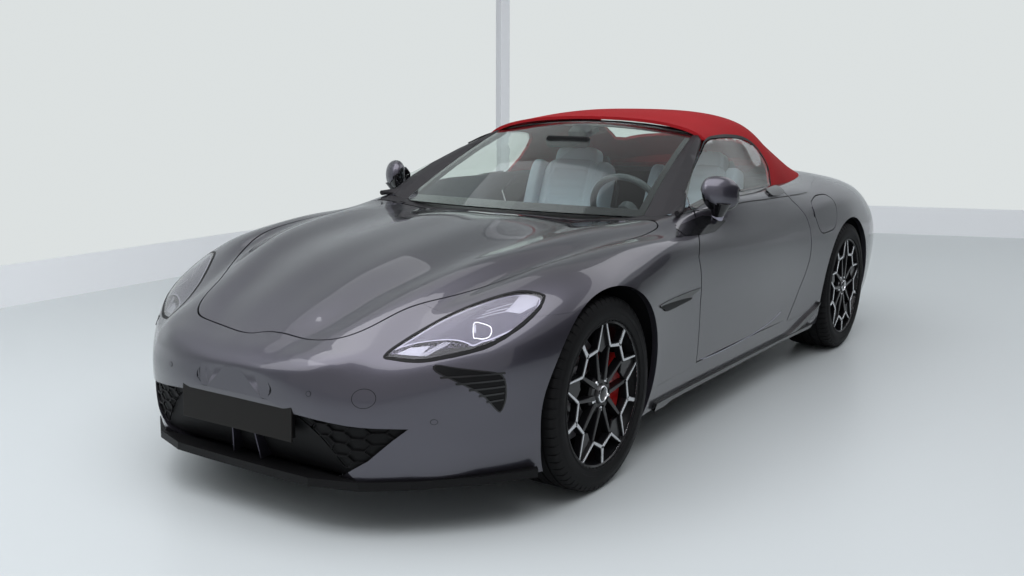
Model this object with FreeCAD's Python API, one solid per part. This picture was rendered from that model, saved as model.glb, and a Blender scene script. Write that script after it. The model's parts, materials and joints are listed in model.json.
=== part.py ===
"""Two-seat roadster with a closed fabric roof, as an assembly of its real panels.

X points to the car's left, Y to its tail and Z up. The origin is on the ground, under the middle
of the car's box. All sizes are in millimetres. The body is one lines plan of sections across the
car; every outer panel is a piece of the skin between that surface and the same surface drawn in.
"""
import FreeCAD, Part
import math
import os

from FreeCAD import Matrix, Rotation, Vector

os.makedirs("parts", exist_ok=True)

# Overall sizes of the car
LENGTH = 4535.0
BODY_WIDTH = 1913.0
DECK_HEIGHT = 1000.0
WHEELBASE = 2690.0
FRONT_OVERHANG = 900.0
HALF_LENGTH = LENGTH / 2
HALF_WIDTH = BODY_WIDTH / 2
FRONT_AXLE_Y = FRONT_OVERHANG - HALF_LENGTH
REAR_AXLE_Y = FRONT_AXLE_Y + WHEELBASE

# Thicknesses and gaps
SKIN = 26.0
SEAT_GAP = 0.3
INNER_WALL = 24.0
SHUT_GAP = 5.0
REST_GAP = 6.0
OVERRUN = 400.0
CORE_HEIGHT = 550.0

# Spacing of the curves' knots: one is by distance, nought is even
SPACING_POWER = 0.7

# Wheels and tyres
TYRE_RADIUS = 352.0
TYRE_RADIUS_REAR = 350.0
TYRE_WIDTH = 245.0
TYRE_WIDTH_REAR = 275.0
RIM_RADIUS = 266.0
WHEEL_X = 787.0
WHEEL_X_REAR = 806.0
ARCH_RADIUS = 390.0
ARCH_RADIUS_REAR = 384.0
LINER_RADIUS = 418.0
LINER_DEPTH_X = 440.0
LINER_DEPTH_X_REAR = 560.0
STEER_OFFSET = 60.0

# Hinge lines, each from the panel it carries
DOOR_HINGE = Vector(850.0, -650.0, 890.0)
DOOR_HINGE_TILT = 30.0
DOOR_ARM_FOOT = Vector(856.0, -500.0, 830.0)
DOOR_ARM_RISE = Vector(862.0, -518.0, 872.0)
DOOR_ARM_BEND = Vector(866.0, -592.0, 897.0)
DOOR_PIN_RADIUS = 8.0
DOOR_BOSS_RADIUS = 17.0
DOOR_ARM_RADIUS = 12.0
DOOR_PIN_OUT = 26.0
DOOR_PIN_IN = 78.0
BONNET_HINGE = Vector(610.0, -655.0, 880.0)
COWL_GAP = 9.0
BONNET_ARM = Vector(26.0, 66.0, 16.0)
BONNET_PIN_RADIUS = 4.0
BOOT_HINGE_X = 300.0
BOOT_HINGE_DROP = 7.0
BOOT_HINGE_BACK = 3.0
BOOT_FRONT_GAP = 10.0
BOOT_PIN_RADIUS = 2.5
BOOT_KNUCKLE_RADIUS = 5.0
BOOT_KNUCKLE_WIDTH = 40.0
BOOT_LEAF_REACH = 26.0
FLAP_HINGE = Vector(908.0, 777.0, 816.0)
FLAP_HINGE_TILT = 16.0
FLAP_PIN_RADIUS = 2.0
FLAP_PIN_HOLD = 4.5
FLAP_KNUCKLE_RADIUS = 4.5
FLAP_KNUCKLE_LENGTH = 22.0
FLAP_LEAF_REACH = 8.1
FLAP_ROOM_RADIUS = 13.0
FLAP_ROOM_UP = 19.0
FLAP_ROOM_DOWN = 32.0
RUNNING_GAP = 0.3

# Heights and places of the panel joints
BUMPER_TOP_Y = -1870.0
BUMPER_SHUT_Z = 690.0
DOOR_FRONT_Y = -585.0
SILL_TOP_Z = 280.0
SKIRT_INNER_X = 800.0
BELT_X = 700.0
BOOT_EDGE_Z = 775.0
LAMP_LOW_Z = 700.0
LAMP_FRONT_Y = 1980.0
REAR_SHUT_Y = 1790.0
DOOR_INNER_X = 752.0
DOOR_OUTER_X = 1016.0
BULKHEAD_Y = 905.0
FIREWALL_Y = -930.0
FLOOR_Z = 290.0
FENDER_INNER_X = 400.0
DIFFUSER_TOP_Z = 330.0
FLAP_GAP = 4.0
FLAP_WALL = 10.0
NOSE_REST_Y = -2160.0
BAY_FRONT_Y = -2050.0
BAY_FLOOR_Z = 230.0
BULKHEAD_WALL = 60.0
BOOT_END_Y = 2130.0
BOOT_FLOOR_Z = 490.0
FLANGE = 40.0
LINER_RADIUS_REAR = 402.0
LINER_WALL = 32.0
ARM_SPREAD = 150.0
ARM_LOW_Z = 190.0
ARM_HIGH_Z = 470.0
BAY_SIDE_X = 380.0
COWL_Y = -700.0
COWL_X = 745.0
COWL_DEPTH = 130.0
CABIN_X = 760.0
SAIL_END_Y = -420.0
NOSE_Y = -HALF_LENGTH - OVERRUN
TAIL_Y = HALF_LENGTH + OVERRUN
TOP_Z = DECK_HEIGHT + OVERRUN

# Windscreen: where its middle and its corner stand at the base and at the header
SCREEN_BASE = Vector(0, -745.0, 905.0)
SCREEN_BASE_CORNER = Vector(640.0, -590.0, 893.0)
SCREEN_TOP = Vector(0, 62.0, 1264.0)
SCREEN_TOP_CORNER = Vector(545.0, 98.0, 1216.0)
SCREEN_BULGE = 18.0
SCREEN_WALL = 6.0
SCREEN_ROWS = 5
SCREEN_COLUMNS = 7
PILLAR_BASE = Vector(781.0, -498.0, 936.0)
PILLAR_TOP = Vector(605.0, 42.0, 1184.0)
PILLAR_BOW = Vector(14.0, -50.0, 0.0)
PILLAR_DEPTH = 38.0
HEADER_DEPTH = 62.0
HEADER_WALL = 24.0
HEADER_LOW = 0.95
HEADER_SLOPE = 0.12
PILLAR_UPS = (-0.08, 0.25, 0.5, 0.75, 1.03)
HEADER_PLACES = (-1.04, -0.75, -0.5, -0.25, 0.0, 0.25, 0.5, 0.75, 1.04)
FABRIC_FRONT_Y = 84.0
ROOF_PIVOT_Z = 935.0
ROOF_RISE = 385.0
ROOF_REACH_Y = 1340.0
ROOF_HALF_WIDTH = 800.0
ROOF_GAP = 3.0
GLASS_INNER_X = 520.0
GLASS_BASE_X = 785.0
REAR_WINDOW_SHARES = (
    (0.000, 0.3560), (0.330, 0.3560), (0.395, 0.3660), (0.430, 0.4400), (0.430, 0.4850),
    (0.380, 0.4990), (0.000, 0.4990),
)

# Mirror: places across the car, then the head's centre and half sizes there
MIRROR_X = (824.0, 846.0, 886.0, 926.0, 953.0)
MIRROR_Y = (-388.0, -380.0, -366.0, -346.0, -318.0)
MIRROR_Z = (992.0, 986.0, 982.0, 980.0, 979.0)
MIRROR_HALF_DEPTH = (28.0, 52.0, 60.0, 50.0, 22.0)
MIRROR_HALF_HEIGHT = (40.0, 68.0, 76.0, 66.0, 30.0)
MIRROR_FOOT = Vector(865.5, -353.9, 886.8)
MIRROR_NECK = Vector(918.0, -360.0, 918.0)
MIRROR_FOOT_RADIUS = 16.0
MIRROR_NECK_RADIUS = 14.0

# Seats, dashboard and steering wheel
SEAT_X = 370.0
SEAT_WIDTH = 500.0
SEAT_FRONT_Y = -60.0
SEAT_BACK_Y = 420.0
SEAT_HEIGHT = 560.0
SEAT_TOP_Y = 610.0
SEAT_TOP_Z = 1040.0
SEAT_THICK = 120.0
SEAT_ROUND = 42.0
SEAT_OVERLAP = 24.0
SEAT_LEAN = 36.0
SEAT_BACK_SHARES = ((-0.1, 0.96), (0.4, 1.0), (0.72, 0.69), (1.0, 0.6))
DASH_FRONT_Y = -640.0
DASH_LOW_Z = 600.0
DASH_PROFILE_SHARES = (
    (0.00, 0.00), (0.00, 0.83), (0.22, 0.84), (0.27, 1.02), (0.40, 1.05), (0.72, 0.98), (1.00, 0.78),
    (0.95, 0.45), (0.55, 0.00),
)
DASH_DEPTH = 340.0
DASH_HALF_WIDTH = DOOR_INNER_X - REST_GAP
DASH_HEIGHT = 285.0
CONSOLE_HALF_WIDTH = 120.0
CONSOLE_END_Y = 420.0
CONSOLE_HEIGHT = 560.0
CONSOLE_SETBACK = 136.0
STEER_CENTRE = Vector(370.0, -215.0, 865.0)
STEER_TILT = 24.0
STEER_RADIUS = 178.0
STEER_TUBE = 15.0
STEER_HUB_RADIUS = 46.0
STEER_SPOKE_RADIUS = 10.5
STEER_HUB_DEPTH = 34.0
COLUMN_RADIUS = 30.0
COLUMN_LENGTH = 220.0
STEER_PIN_RADIUS = 12.0

# Wheels: profiles as shares of the radius or the width
TYRE_PROFILE_SHARES = (
    (0.755, -0.40), (0.800, -0.47), (0.870, -0.50), (0.940, -0.475), (0.985, -0.41), (1.000, -0.30),
    (1.000, 0.30), (0.985, 0.41), (0.940, 0.475), (0.870, 0.50), (0.800, 0.47), (0.755, 0.40),
)
RIM_PROFILE_SHARES = (
    (1.000, -0.43), (1.000, -0.40), (0.955, -0.385), (0.930, -0.20), (0.900, 0.0), (0.930, 0.30),
    (0.955, 0.385), (1.000, 0.40), (1.000, 0.43), (0.940, 0.425), (0.905, 0.30), (0.870, 0.0),
    (0.900, -0.20), (0.925, -0.42),
)
SPOKE_COUNT = 5
SPOKE_WIDTH = 46.0
SPOKE_TIP_WIDTH = 92.0
SPOKE_DEPTH = 34.0
HUB_DISC_RADIUS = 78.0
SPOKE_ROOT_RADIUS = 54.6
SPOKE_END_RADIUS = 247.38
SPOKE_FACE_SHARE = 0.40
DISC_RADIUS = 188.0
DISC_WALL = 30.0
DISC_X_SHARE = -0.10
AXLE_RADIUS = 32.0
AXLE_LENGTH = 95.0
CALIPER_DEPTH = 78.0
CALIPER_HEIGHT = 170.0
CALIPER_REACH = 116.5
KINGPIN_RADIUS = 12.0
KINGPIN_HALF = 118.0
KNUCKLE_HALF = 34.0
ARM_WALL = 26.0
ARM_EYE_RADIUS = 26.0
ARM_TIP = 25.0
ARM_FOOT = 120.0
ARM_CROTCH = 72.0
ARM_NECK = 102.0
SUBFRAME_X = 300.0
MOTOR_SIZE = Vector(420.0, 380.0, 224.0)
MOTOR_LOW_Z = 238.0
SPLITTER_TOP_Z = 190.0
SPLITTER_LOW_Z = 162.0
SPLITTER_SHARES = (
    (0.000, -0.9960), (0.150, -0.9960), (0.330, -0.9940), (0.500, -0.9700), (0.640, -0.9250),
    (0.800, -0.8550), (0.920, -0.7800), (0.900, -0.7700), (0.760, -0.8300), (0.600, -0.8900),
    (0.000, -0.9300),
)

# Sections across the body: place along the half length, then for the left half from the bottom
# edge to the middle of the top the widths (of the half width) and the heights (of the deck height)
SECTION_SHARES = (
    (-1.0000, (0.136, 0.167, 0.186, 0.186, 0.167, 0.136, 0.105, 0.073, 0.037),
     (0.428, 0.436, 0.450, 0.470, 0.488, 0.500, 0.506, 0.509, 0.510, 0.510)),
    (-0.9958, (0.261, 0.303, 0.326, 0.317, 0.282, 0.230, 0.173, 0.115, 0.058),
     (0.395, 0.412, 0.440, 0.470, 0.510, 0.528, 0.533, 0.534, 0.535, 0.535)),
    (-0.9813, (0.392, 0.423, 0.452, 0.443, 0.395, 0.335, 0.251, 0.167, 0.084),
     (0.300, 0.340, 0.400, 0.468, 0.542, 0.564, 0.568, 0.566, 0.567, 0.567)),
    (-0.9658, (0.481, 0.509, 0.531, 0.521, 0.458, 0.399, 0.301, 0.197, 0.100),
     (0.195, 0.262, 0.370, 0.482, 0.556, 0.583, 0.590, 0.586, 0.588, 0.588)),
    (-0.9482, (0.535, 0.565, 0.589, 0.573, 0.500, 0.444, 0.335, 0.220, 0.115),
     (0.172, 0.240, 0.380, 0.505, 0.576, 0.598, 0.608, 0.604, 0.606, 0.606)),
    (-0.8953, (0.680, 0.713, 0.728, 0.698, 0.562, 0.489, 0.397, 0.277, 0.141),
     (0.165, 0.245, 0.400, 0.565, 0.620, 0.646, 0.666, 0.660, 0.668, 0.667)),
    (-0.8291, (0.797, 0.836, 0.853, 0.826, 0.627, 0.544, 0.450, 0.314, 0.157),
     (0.160, 0.255, 0.420, 0.625, 0.688, 0.700, 0.725, 0.718, 0.730, 0.728)),
    (-0.7585, (0.894, 0.930, 0.944, 0.901, 0.711, 0.612, 0.512, 0.366, 0.170),
     (0.160, 0.275, 0.460, 0.680, 0.752, 0.748, 0.775, 0.768, 0.783, 0.781)),
    (-0.6792, (0.936, 0.972, 0.984, 0.933, 0.768, 0.674, 0.570, 0.408, 0.183),
     (0.165, 0.290, 0.520, 0.735, 0.805, 0.790, 0.820, 0.808, 0.824, 0.823)),
    (-0.6029, (0.946, 0.983, 0.996, 0.949, 0.805, 0.721, 0.617, 0.434, 0.191),
     (0.170, 0.300, 0.570, 0.765, 0.830, 0.818, 0.846, 0.832, 0.850, 0.850)),
    (-0.5072, (0.925, 0.957, 0.988, 0.953, 0.849, 0.763, 0.653, 0.450, 0.199),
     (0.175, 0.300, 0.590, 0.780, 0.846, 0.842, 0.868, 0.856, 0.874, 0.875)),
    (-0.3969, (0.907, 0.936, 0.967, 0.957, 0.894, 0.800, 0.685, 0.460, 0.205),
     (0.178, 0.300, 0.600, 0.790, 0.850, 0.858, 0.882, 0.872, 0.888, 0.890)),
    (-0.2734, (0.899, 0.925, 0.957, 0.957, 0.918, 0.836, 0.721, 0.465, 0.209),
     (0.180, 0.300, 0.590, 0.775, 0.842, 0.893, 0.896, 0.884, 0.890, 0.892)),
    (-0.1103, (0.897, 0.922, 0.957, 0.957, 0.936, 0.901, 0.826, 0.523, 0.240),
     (0.182, 0.300, 0.580, 0.750, 0.828, 0.916, 0.948, 0.950, 0.950, 0.950)),
    (0.0662, (0.897, 0.924, 0.960, 0.957, 0.939, 0.910, 0.833, 0.523, 0.240),
     (0.184, 0.300, 0.580, 0.745, 0.820, 0.914, 0.955, 0.965, 0.965, 0.965)),
    (0.2470, (0.905, 0.933, 0.967, 0.960, 0.944, 0.907, 0.828, 0.523, 0.240),
     (0.186, 0.300, 0.590, 0.760, 0.825, 0.905, 0.955, 0.975, 0.980, 0.980)),
    (0.3969, (0.925, 0.957, 0.983, 0.970, 0.946, 0.889, 0.800, 0.523, 0.240),
     (0.190, 0.300, 0.600, 0.790, 0.850, 0.905, 0.950, 0.985, 0.992, 0.994)),
    (0.4939, (0.941, 0.978, 0.995, 0.978, 0.941, 0.866, 0.753, 0.502, 0.240),
     (0.192, 0.300, 0.600, 0.800, 0.868, 0.920, 0.958, 0.990, 0.998, 1.000)),
    (0.5830, (0.946, 0.985, 1.000, 0.981, 0.925, 0.836, 0.711, 0.470, 0.230),
     (0.195, 0.300, 0.610, 0.800, 0.880, 0.932, 0.965, 0.988, 0.996, 0.998)),
    (0.6792, (0.941, 0.978, 0.995, 0.967, 0.899, 0.800, 0.669, 0.439, 0.220),
     (0.200, 0.300, 0.610, 0.795, 0.880, 0.925, 0.950, 0.970, 0.978, 0.980)),
    (0.7762, (0.920, 0.957, 0.978, 0.939, 0.857, 0.753, 0.627, 0.418, 0.209),
     (0.205, 0.300, 0.600, 0.775, 0.865, 0.905, 0.925, 0.945, 0.954, 0.956)),
    (0.8556, (0.878, 0.920, 0.946, 0.899, 0.805, 0.700, 0.585, 0.397, 0.199),
     (0.215, 0.310, 0.590, 0.750, 0.840, 0.880, 0.903, 0.922, 0.932, 0.935)),
    (0.9173, (0.826, 0.878, 0.907, 0.852, 0.753, 0.648, 0.544, 0.376, 0.188),
     (0.225, 0.320, 0.575, 0.720, 0.810, 0.858, 0.884, 0.905, 0.916, 0.920)),
    (0.9614, (0.763, 0.821, 0.852, 0.789, 0.690, 0.596, 0.502, 0.350, 0.178),
     (0.240, 0.330, 0.560, 0.700, 0.790, 0.840, 0.870, 0.893, 0.905, 0.910)),
    (0.9879, (0.648, 0.700, 0.732, 0.669, 0.585, 0.502, 0.418, 0.293, 0.146),
     (0.260, 0.340, 0.540, 0.680, 0.765, 0.815, 0.848, 0.872, 0.884, 0.888)),
    (1.0000, (0.439, 0.460, 0.470, 0.439, 0.387, 0.335, 0.282, 0.199, 0.099),
     (0.300, 0.360, 0.520, 0.650, 0.730, 0.780, 0.810, 0.830, 0.840, 0.842)),
)

# Sections of the roof and side glass: place along the half length, then from the belt to the
# middle of the roof the widths (of the half width) and the heights (of the deck height)
ROOF_SHARES = (
    (-0.2600, (0.846, 0.800, 0.734, 0.662, 0.510, 0.300), (0.925, 0.990, 1.076, 1.165, 1.222, 1.256, 1.268)),
    (-0.1000, (0.844, 0.797, 0.729, 0.654, 0.510, 0.300), (0.928, 0.993, 1.081, 1.174, 1.236, 1.268, 1.280)),
    (0.0300, (0.842, 0.793, 0.721, 0.646, 0.520, 0.312), (0.932, 0.998, 1.090, 1.188, 1.246, 1.278, 1.290)),
    (0.0970, (0.838, 0.791, 0.719, 0.644, 0.530, 0.320), (0.934, 1.002, 1.095, 1.194, 1.253, 1.293, 1.306)),
    (0.1900, (0.836, 0.790, 0.722, 0.650, 0.545, 0.335), (0.936, 1.005, 1.095, 1.190, 1.260, 1.306, 1.320)),
    (0.2820, (0.823, 0.775, 0.714, 0.636, 0.530, 0.335), (0.938, 1.045, 1.130, 1.210, 1.266, 1.307, 1.320)),
    (0.3700, (0.802, 0.740, 0.672, 0.597, 0.502, 0.325), (0.940, 1.035, 1.105, 1.172, 1.234, 1.277, 1.290)),
    (0.4590, (0.768, 0.698, 0.630, 0.549, 0.450, 0.285), (0.945, 1.018, 1.070, 1.124, 1.174, 1.213, 1.224)),
    (0.5290, (0.735, 0.640, 0.548, 0.462, 0.368, 0.222), (0.950, 1.006, 1.040, 1.074, 1.104, 1.128, 1.138)),
    (0.5780, (0.680, 0.560, 0.455, 0.370, 0.275, 0.148), (0.950, 1.002, 1.016, 1.029, 1.040, 1.048, 1.051)),
)
ROOF_WALL = 16.0
GLASS_WALL = 5.0

# Panel outlines. Plan outlines hold (width share, length share) pairs of the left half, side
# outlines hold (length share, height share) pairs
BONNET_SHARES = (
    (0.000, -0.9490), (0.228, -0.9440), (0.350, -0.9350), (0.415, -0.9090), (0.478, -0.8480),
    (0.566, -0.7900), (0.672, -0.7150), (0.750, -0.6350), (0.792, -0.5250), (0.818, -0.4150),
    (0.828, -0.3520), (0.812, -0.3180), (0.764, -0.3000), (0.640, -0.2990), (0.430, -0.3170),
    (0.215, -0.3370), (0.000, -0.3440),
)
BOOT_SHARES = (
    (0.000, 0.6180), (0.300, 0.6180), (0.500, 0.6180), (0.560, 0.6400), (0.590, 0.7000),
    (0.600, 0.8000), (0.595, 0.9000), (0.560, 1.0400), (0.000, 1.0400),
)
TONNEAU_SHARES = (
    (0.000, 0.3900), (0.730, 0.3900), (0.770, 0.3300), (0.790, 0.2150), (1.000, 0.2150),
    (1.000, 0.3550), (0.885, 0.4070), (0.836, 0.4700), (0.800, 0.5400), (0.720, 0.5950),
    (0.600, 0.6180), (0.000, 0.6180),
)
TONNEAU_SIDE_SHARES = (
    (0.1900, 0.9080), (0.3420, 0.8970), (0.4070, 0.9110), (0.5480, 0.9460), (0.6500, 0.9600),
    (0.6500, 1.3000), (0.1900, 1.3000),
)
DOOR_SHARES = (
    (-0.2407, 0.1860), (-0.2686, 0.5480), (-0.2738, 0.6448), (-0.2853, 0.7264), (-0.3097, 0.8169),
    (-0.2913, 0.9864), (-0.2542, 1.2206), (-0.2542, 1.3000), (0.2190, 1.3000), (0.2190, 0.9300),
    (0.2430, 0.9080), (0.3430, 0.8580), (0.3530, 0.8000), (0.3680, 0.7300), (0.3690, 0.6440),
    (0.3575, 0.5700), (0.3370, 0.4980), (0.3200, 0.4330), (0.3000, 0.3000), (0.2945, 0.1860),
)
DOOR_INNER_SHARES = (
    (-0.2350, 0.4000), (-0.2440, 0.5600), (-0.2400, 0.6000), (-0.2350, 0.6300), (-0.2250, 0.6500),
    (-0.2099, 0.6680), (-0.1724, 0.9040), (-0.1724, 1.0600), (0.2190, 1.0600), (0.2190, 0.9300),
    (0.2190, 0.9080), (0.1700, 0.8580), (0.1850, 0.8000), (0.1970, 0.7300), (0.2100, 0.6440),
    (0.2150, 0.5700), (0.2100, 0.4980), (0.1950, 0.4500), (0.1850, 0.4200), (0.1700, 0.4000),
)
GLASS_SHARES = (
    (-0.2130, 0.9000), (-0.2110, 0.9370), (-0.1930, 1.0000), (-0.1010, 1.0790), (0.0130, 1.1740),
    (0.0500, 1.1900), (0.0900, 1.1930), (0.1500, 1.1910), (0.2100, 1.1790), (0.2390, 1.1500),
    (0.2480, 1.1000), (0.2430, 1.0380), (0.2170, 0.9670), (0.2000, 0.9000),
)
HEADLAMP_SHARES = (
    (-0.9330, 0.5830), (-0.8980, 0.6160), (-0.8340, 0.6790), (-0.7750, 0.7320), (-0.7450, 0.7500),
    (-0.7280, 0.7450), (-0.7450, 0.7130), (-0.7880, 0.6640), (-0.8450, 0.6060), (-0.8790, 0.5840),
    (-0.9060, 0.5760),
)
FLAP_SHARES = (
    (0.3520, 0.8610), (0.3960, 0.8810), (0.4410, 0.8830), (0.4665, 0.8720), (0.4790, 0.7420),
    (0.4650, 0.7050), (0.4230, 0.6900), (0.3770, 0.6990), (0.3560, 0.7490), (0.3420, 0.8170),
)
MOUTH_SHARES = (
    (0.000, 0.400), (0.300, 0.392), (0.480, 0.376), (0.640, 0.366), (0.600, 0.330), (0.530, 0.262),
    (0.440, 0.205), (0.300, 0.150), (0.000, 0.150),
)


def lines_plan(table, width, length, height):
    """Return the rows of points of a full-width surface from a table of half sections."""
    rows = []
    for place, widths, heights in table:
        left = [Vector(x * width, place * length, z * height) for x, z in zip(widths + (0,), heights)]
        right = [Vector(-point.x, point.y, point.z) for point in reversed(left[:-1])]
        rows.append(left + right)
    return rows


def run_parameters(lines):
    """Return the mean places of the points along like lines, from nought to one."""
    places = [0.0] * len(lines[0])
    for line in lines:
        runs = [0.0]
        for before, after in zip(line, line[1:]):
            runs.append(runs[-1] + (after - before).Length ** SPACING_POWER)
        places = [total + run / runs[-1] for total, run in zip(places, runs)]
    return [total / len(lines) for total in places]


def cubic_through(points, places):
    """Return the cubic curve that passes the points at these places."""
    curve = Part.BSplineCurve()
    curve.interpolate(Points=points, Parameters=places)
    return curve


def smooth_surface(rows):
    """Return one smooth surface through the rows of points."""
    columns = [list(column) for column in zip(*rows)]
    along = run_parameters(columns)
    across = run_parameters(rows)
    lengthwise = [cubic_through(column, along) for column in columns]
    pole_rows = zip(*[curve.getPoles() for curve in lengthwise])
    crosswise = [cubic_through(list(row), across) for row in pole_rows]
    surface = Part.BSplineSurface()
    surface.buildFromPolesMultsKnots(
        [curve.getPoles() for curve in crosswise],
        lengthwise[0].getMultiplicities(), crosswise[0].getMultiplicities(),
        lengthwise[0].getKnots(), crosswise[0].getKnots(), False, False, 3, 3)
    return surface


def closed_hull(rows):
    """Return the solid between one smooth surface through the rows, a flat base and two end caps."""
    surface = smooth_surface(rows)
    first_u, last_u, first_v, last_v = surface.bounds()
    sides = [surface.vIso(value).toShape() for value in (first_v, last_v)]
    ends = [surface.uIso(value).toShape() for value in (first_u, last_u)]
    faces = [surface.toShape(), Part.makeRuledSurface(sides[0], sides[1])]
    for end in ends:
        chord = Part.makeLine(end.Vertexes[-1].Point, end.Vertexes[0].Point)
        faces.append(Part.Face(Part.Wire([end, chord])))
    return Part.makeSolid(Part.makeShell(faces))


def drawn_in(shape, wall):
    """Return the shape drawn in by a wall on every side, about the body's core height."""
    matrix = Matrix()
    matrix.move(Vector(0, 0, -CORE_HEIGHT))
    rise = 1 - wall / (DECK_HEIGHT - CORE_HEIGHT)
    matrix.scale(Vector(1 - wall / HALF_WIDTH, 1 - wall / HALF_LENGTH, rise))
    matrix.move(Vector(0, 0, CORE_HEIGHT))
    return shape.transformGeometry(matrix)


def box_between(low, high):
    """Return the box with these two corners."""
    size = high - low
    return Part.makeBox(size.x, size.y, size.z, low)


def mirrored(shape):
    """Return the same piece of the car's right side."""
    return shape.mirror(Vector(0, 0, 0), Vector(1, 0, 0))


def polygon(points):
    """Return the closed wire of straight edges through the points."""
    return Part.makePolygon(points + [points[0]])


def spline_loop(points):
    """Return the closed smooth wire through the points."""
    curve = Part.BSplineCurve()
    curve.interpolate(Points=points, PeriodicFlag=True)
    return Part.Wire([curve.toShape()])


def plan_points(shares):
    """Return the points of a plan outline of both halves, at ground level."""
    left = [Vector(x * HALF_WIDTH, y * HALF_LENGTH, 0) for x, y in shares]
    inner = [point for point in left if point.x > 0]
    return left + [Vector(-point.x, point.y, 0) for point in reversed(inner)]


def side_points(shares, x):
    """Return the points of a side outline at a place across the car."""
    return [Vector(x, y * HALF_LENGTH, z * DECK_HEIGHT) for y, z in shares]


def front_points(shares, y):
    """Return the points of a front outline of both halves at a place along the car."""
    left = [Vector(x * HALF_WIDTH, y, z * DECK_HEIGHT) for x, z in shares]
    inner = [point for point in left if point.x > 0]
    return left + [Vector(-point.x, point.y, point.z) for point in reversed(inner)]


def grown(points, gap, normal):
    """Return the points of a flat outline moved outwards by a gap, with mitred corners."""
    pairs = list(zip(points, points[1:] + points[:1]))
    area = sum(((start - points[0]).cross(end - points[0])).dot(normal) for start, end in pairs)
    side = gap if area > 0 else -gap
    moved = []
    for before, point, after in zip(points[-1:] + points[:-1], points, points[1:] + points[:1]):
        turn = (point - before).normalize() + (after - point).normalize()
        outward = turn.cross(normal)
        moved.append(point + outward * (side * 2 / (turn.Length * turn.Length)))
    return moved


def outline_face(points, smooth):
    """Return the flat face inside an outline, smooth or with straight edges."""
    return Part.Face(spline_loop(points) if smooth else polygon(points))


def plan_prism(shares, gap=0.0, smooth=False):
    """Return the upright prism over a plan outline, grown by a gap."""
    points = grown(plan_points(shares), gap, Vector(0, 0, 1))
    return outline_face(points, smooth).extrude(Vector(0, 0, DECK_HEIGHT + OVERRUN))


def side_prism(shares, gap=0.0, start=0.0, end=HALF_WIDTH + OVERRUN, smooth=False):
    """Return the prism across the car over a side outline, from one width to another."""
    points = grown(side_points(shares, start), gap, Vector(1, 0, 0))
    return outline_face(points, smooth).extrude(Vector(end - start, 0, 0))


def lofted(wires):
    """Return the solid with straight rulings between two wires of like points."""
    return Part.makeLoft(wires, True, True)


def cylinder(start, end, radius):
    """Return the round bar from one point to another."""
    run = end - start
    return Part.makeCylinder(radius, run.Length, start, run)


# The two surfaces that every panel is cut from
HULL = closed_hull(lines_plan(SECTION_SHARES, HALF_WIDTH, HALF_LENGTH, DECK_HEIGHT))
ROOF = closed_hull(lines_plan(ROOF_SHARES, HALF_WIDTH, HALF_LENGTH, DECK_HEIGHT))
INNER_HULL = drawn_in(HULL, SKIN)
CORE_HULL = drawn_in(HULL, SKIN + SEAT_GAP)
CAVITY_HULL = drawn_in(HULL, SKIN + SEAT_GAP + INNER_WALL)
REST_HULL = drawn_in(HULL, SKIN + REST_GAP)
MIDDLE_HULL = drawn_in(HULL, SKIN / 2)
CLEAR_HULL = drawn_in(HULL, -SEAT_GAP)


def wheel_cut(radius, axle_y, hub_z, start_x, end_x):
    """Return the cylinder that opens a wheel arch, on the left."""
    return cylinder(Vector(start_x, axle_y, hub_z), Vector(end_x, axle_y, hub_z), radius)


def arch_cuts():
    """Return the arch openings of both axles in the outer panels, on the left."""
    far = HALF_WIDTH + OVERRUN
    front = wheel_cut(ARCH_RADIUS, FRONT_AXLE_Y, TYRE_RADIUS, LINER_DEPTH_X, far)
    rear = wheel_cut(ARCH_RADIUS_REAR, REAR_AXLE_Y, TYRE_RADIUS_REAR, LINER_DEPTH_X_REAR, far)
    return [front, rear]


def both_sides(shapes):
    """Return the left pieces with their mirror images."""
    return shapes + [mirrored(shape) for shape in shapes]


def door_space(gap):
    """Return the tapered block that the left door fills, grown by a gap."""
    outer = grown(side_points(DOOR_SHARES, DOOR_OUTER_X), gap, Vector(1, 0, 0))
    inner = grown(side_points(DOOR_INNER_SHARES, DOOR_INNER_X - gap), gap, Vector(1, 0, 0))
    return lofted([polygon(outer), polygon(inner)])


def skin_of(region, wall_hull=None):
    """Return the outer skin inside a region."""
    return region.common(HULL).cut(wall_hull or INNER_HULL)


def slab(low_y, high_y, low_z, high_z, low_x=-HALF_WIDTH - OVERRUN, high_x=HALF_WIDTH + OVERRUN):
    """Return a block across the car between these places."""
    return box_between(Vector(low_x, low_y, low_z), Vector(high_x, high_y, high_z))


DOOR_SPACE = door_space(0.0)
DOOR_OPENING = door_space(SHUT_GAP)
ARCH_CUTS = both_sides(arch_cuts())
DOOR_CUTS = both_sides([DOOR_OPENING])
LAMP_BLOCK = side_prism(HEADLAMP_SHARES, start=CORE_HEIGHT - SKIN)
BONNET_CUT = plan_prism(BONNET_SHARES, smooth=True).common(slab(NOSE_Y, 0, CORE_HEIGHT, TOP_Z))
BOOT_CUT = plan_prism(BOOT_SHARES).common(slab(0, TAIL_Y, BOOT_EDGE_Z, TOP_Z))
FLAP_CUT = side_prism(FLAP_SHARES, start=BELT_X, smooth=True)
TONNEAU_CUT = plan_prism(TONNEAU_SHARES).common(side_prism(TONNEAU_SIDE_SHARES, start=-DOOR_OUTER_X))


def main_solid(shape):
    """Return the largest solid of a shape, without crumbs."""
    return max(shape.Solids, key=lambda solid: solid.Volume)


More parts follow.
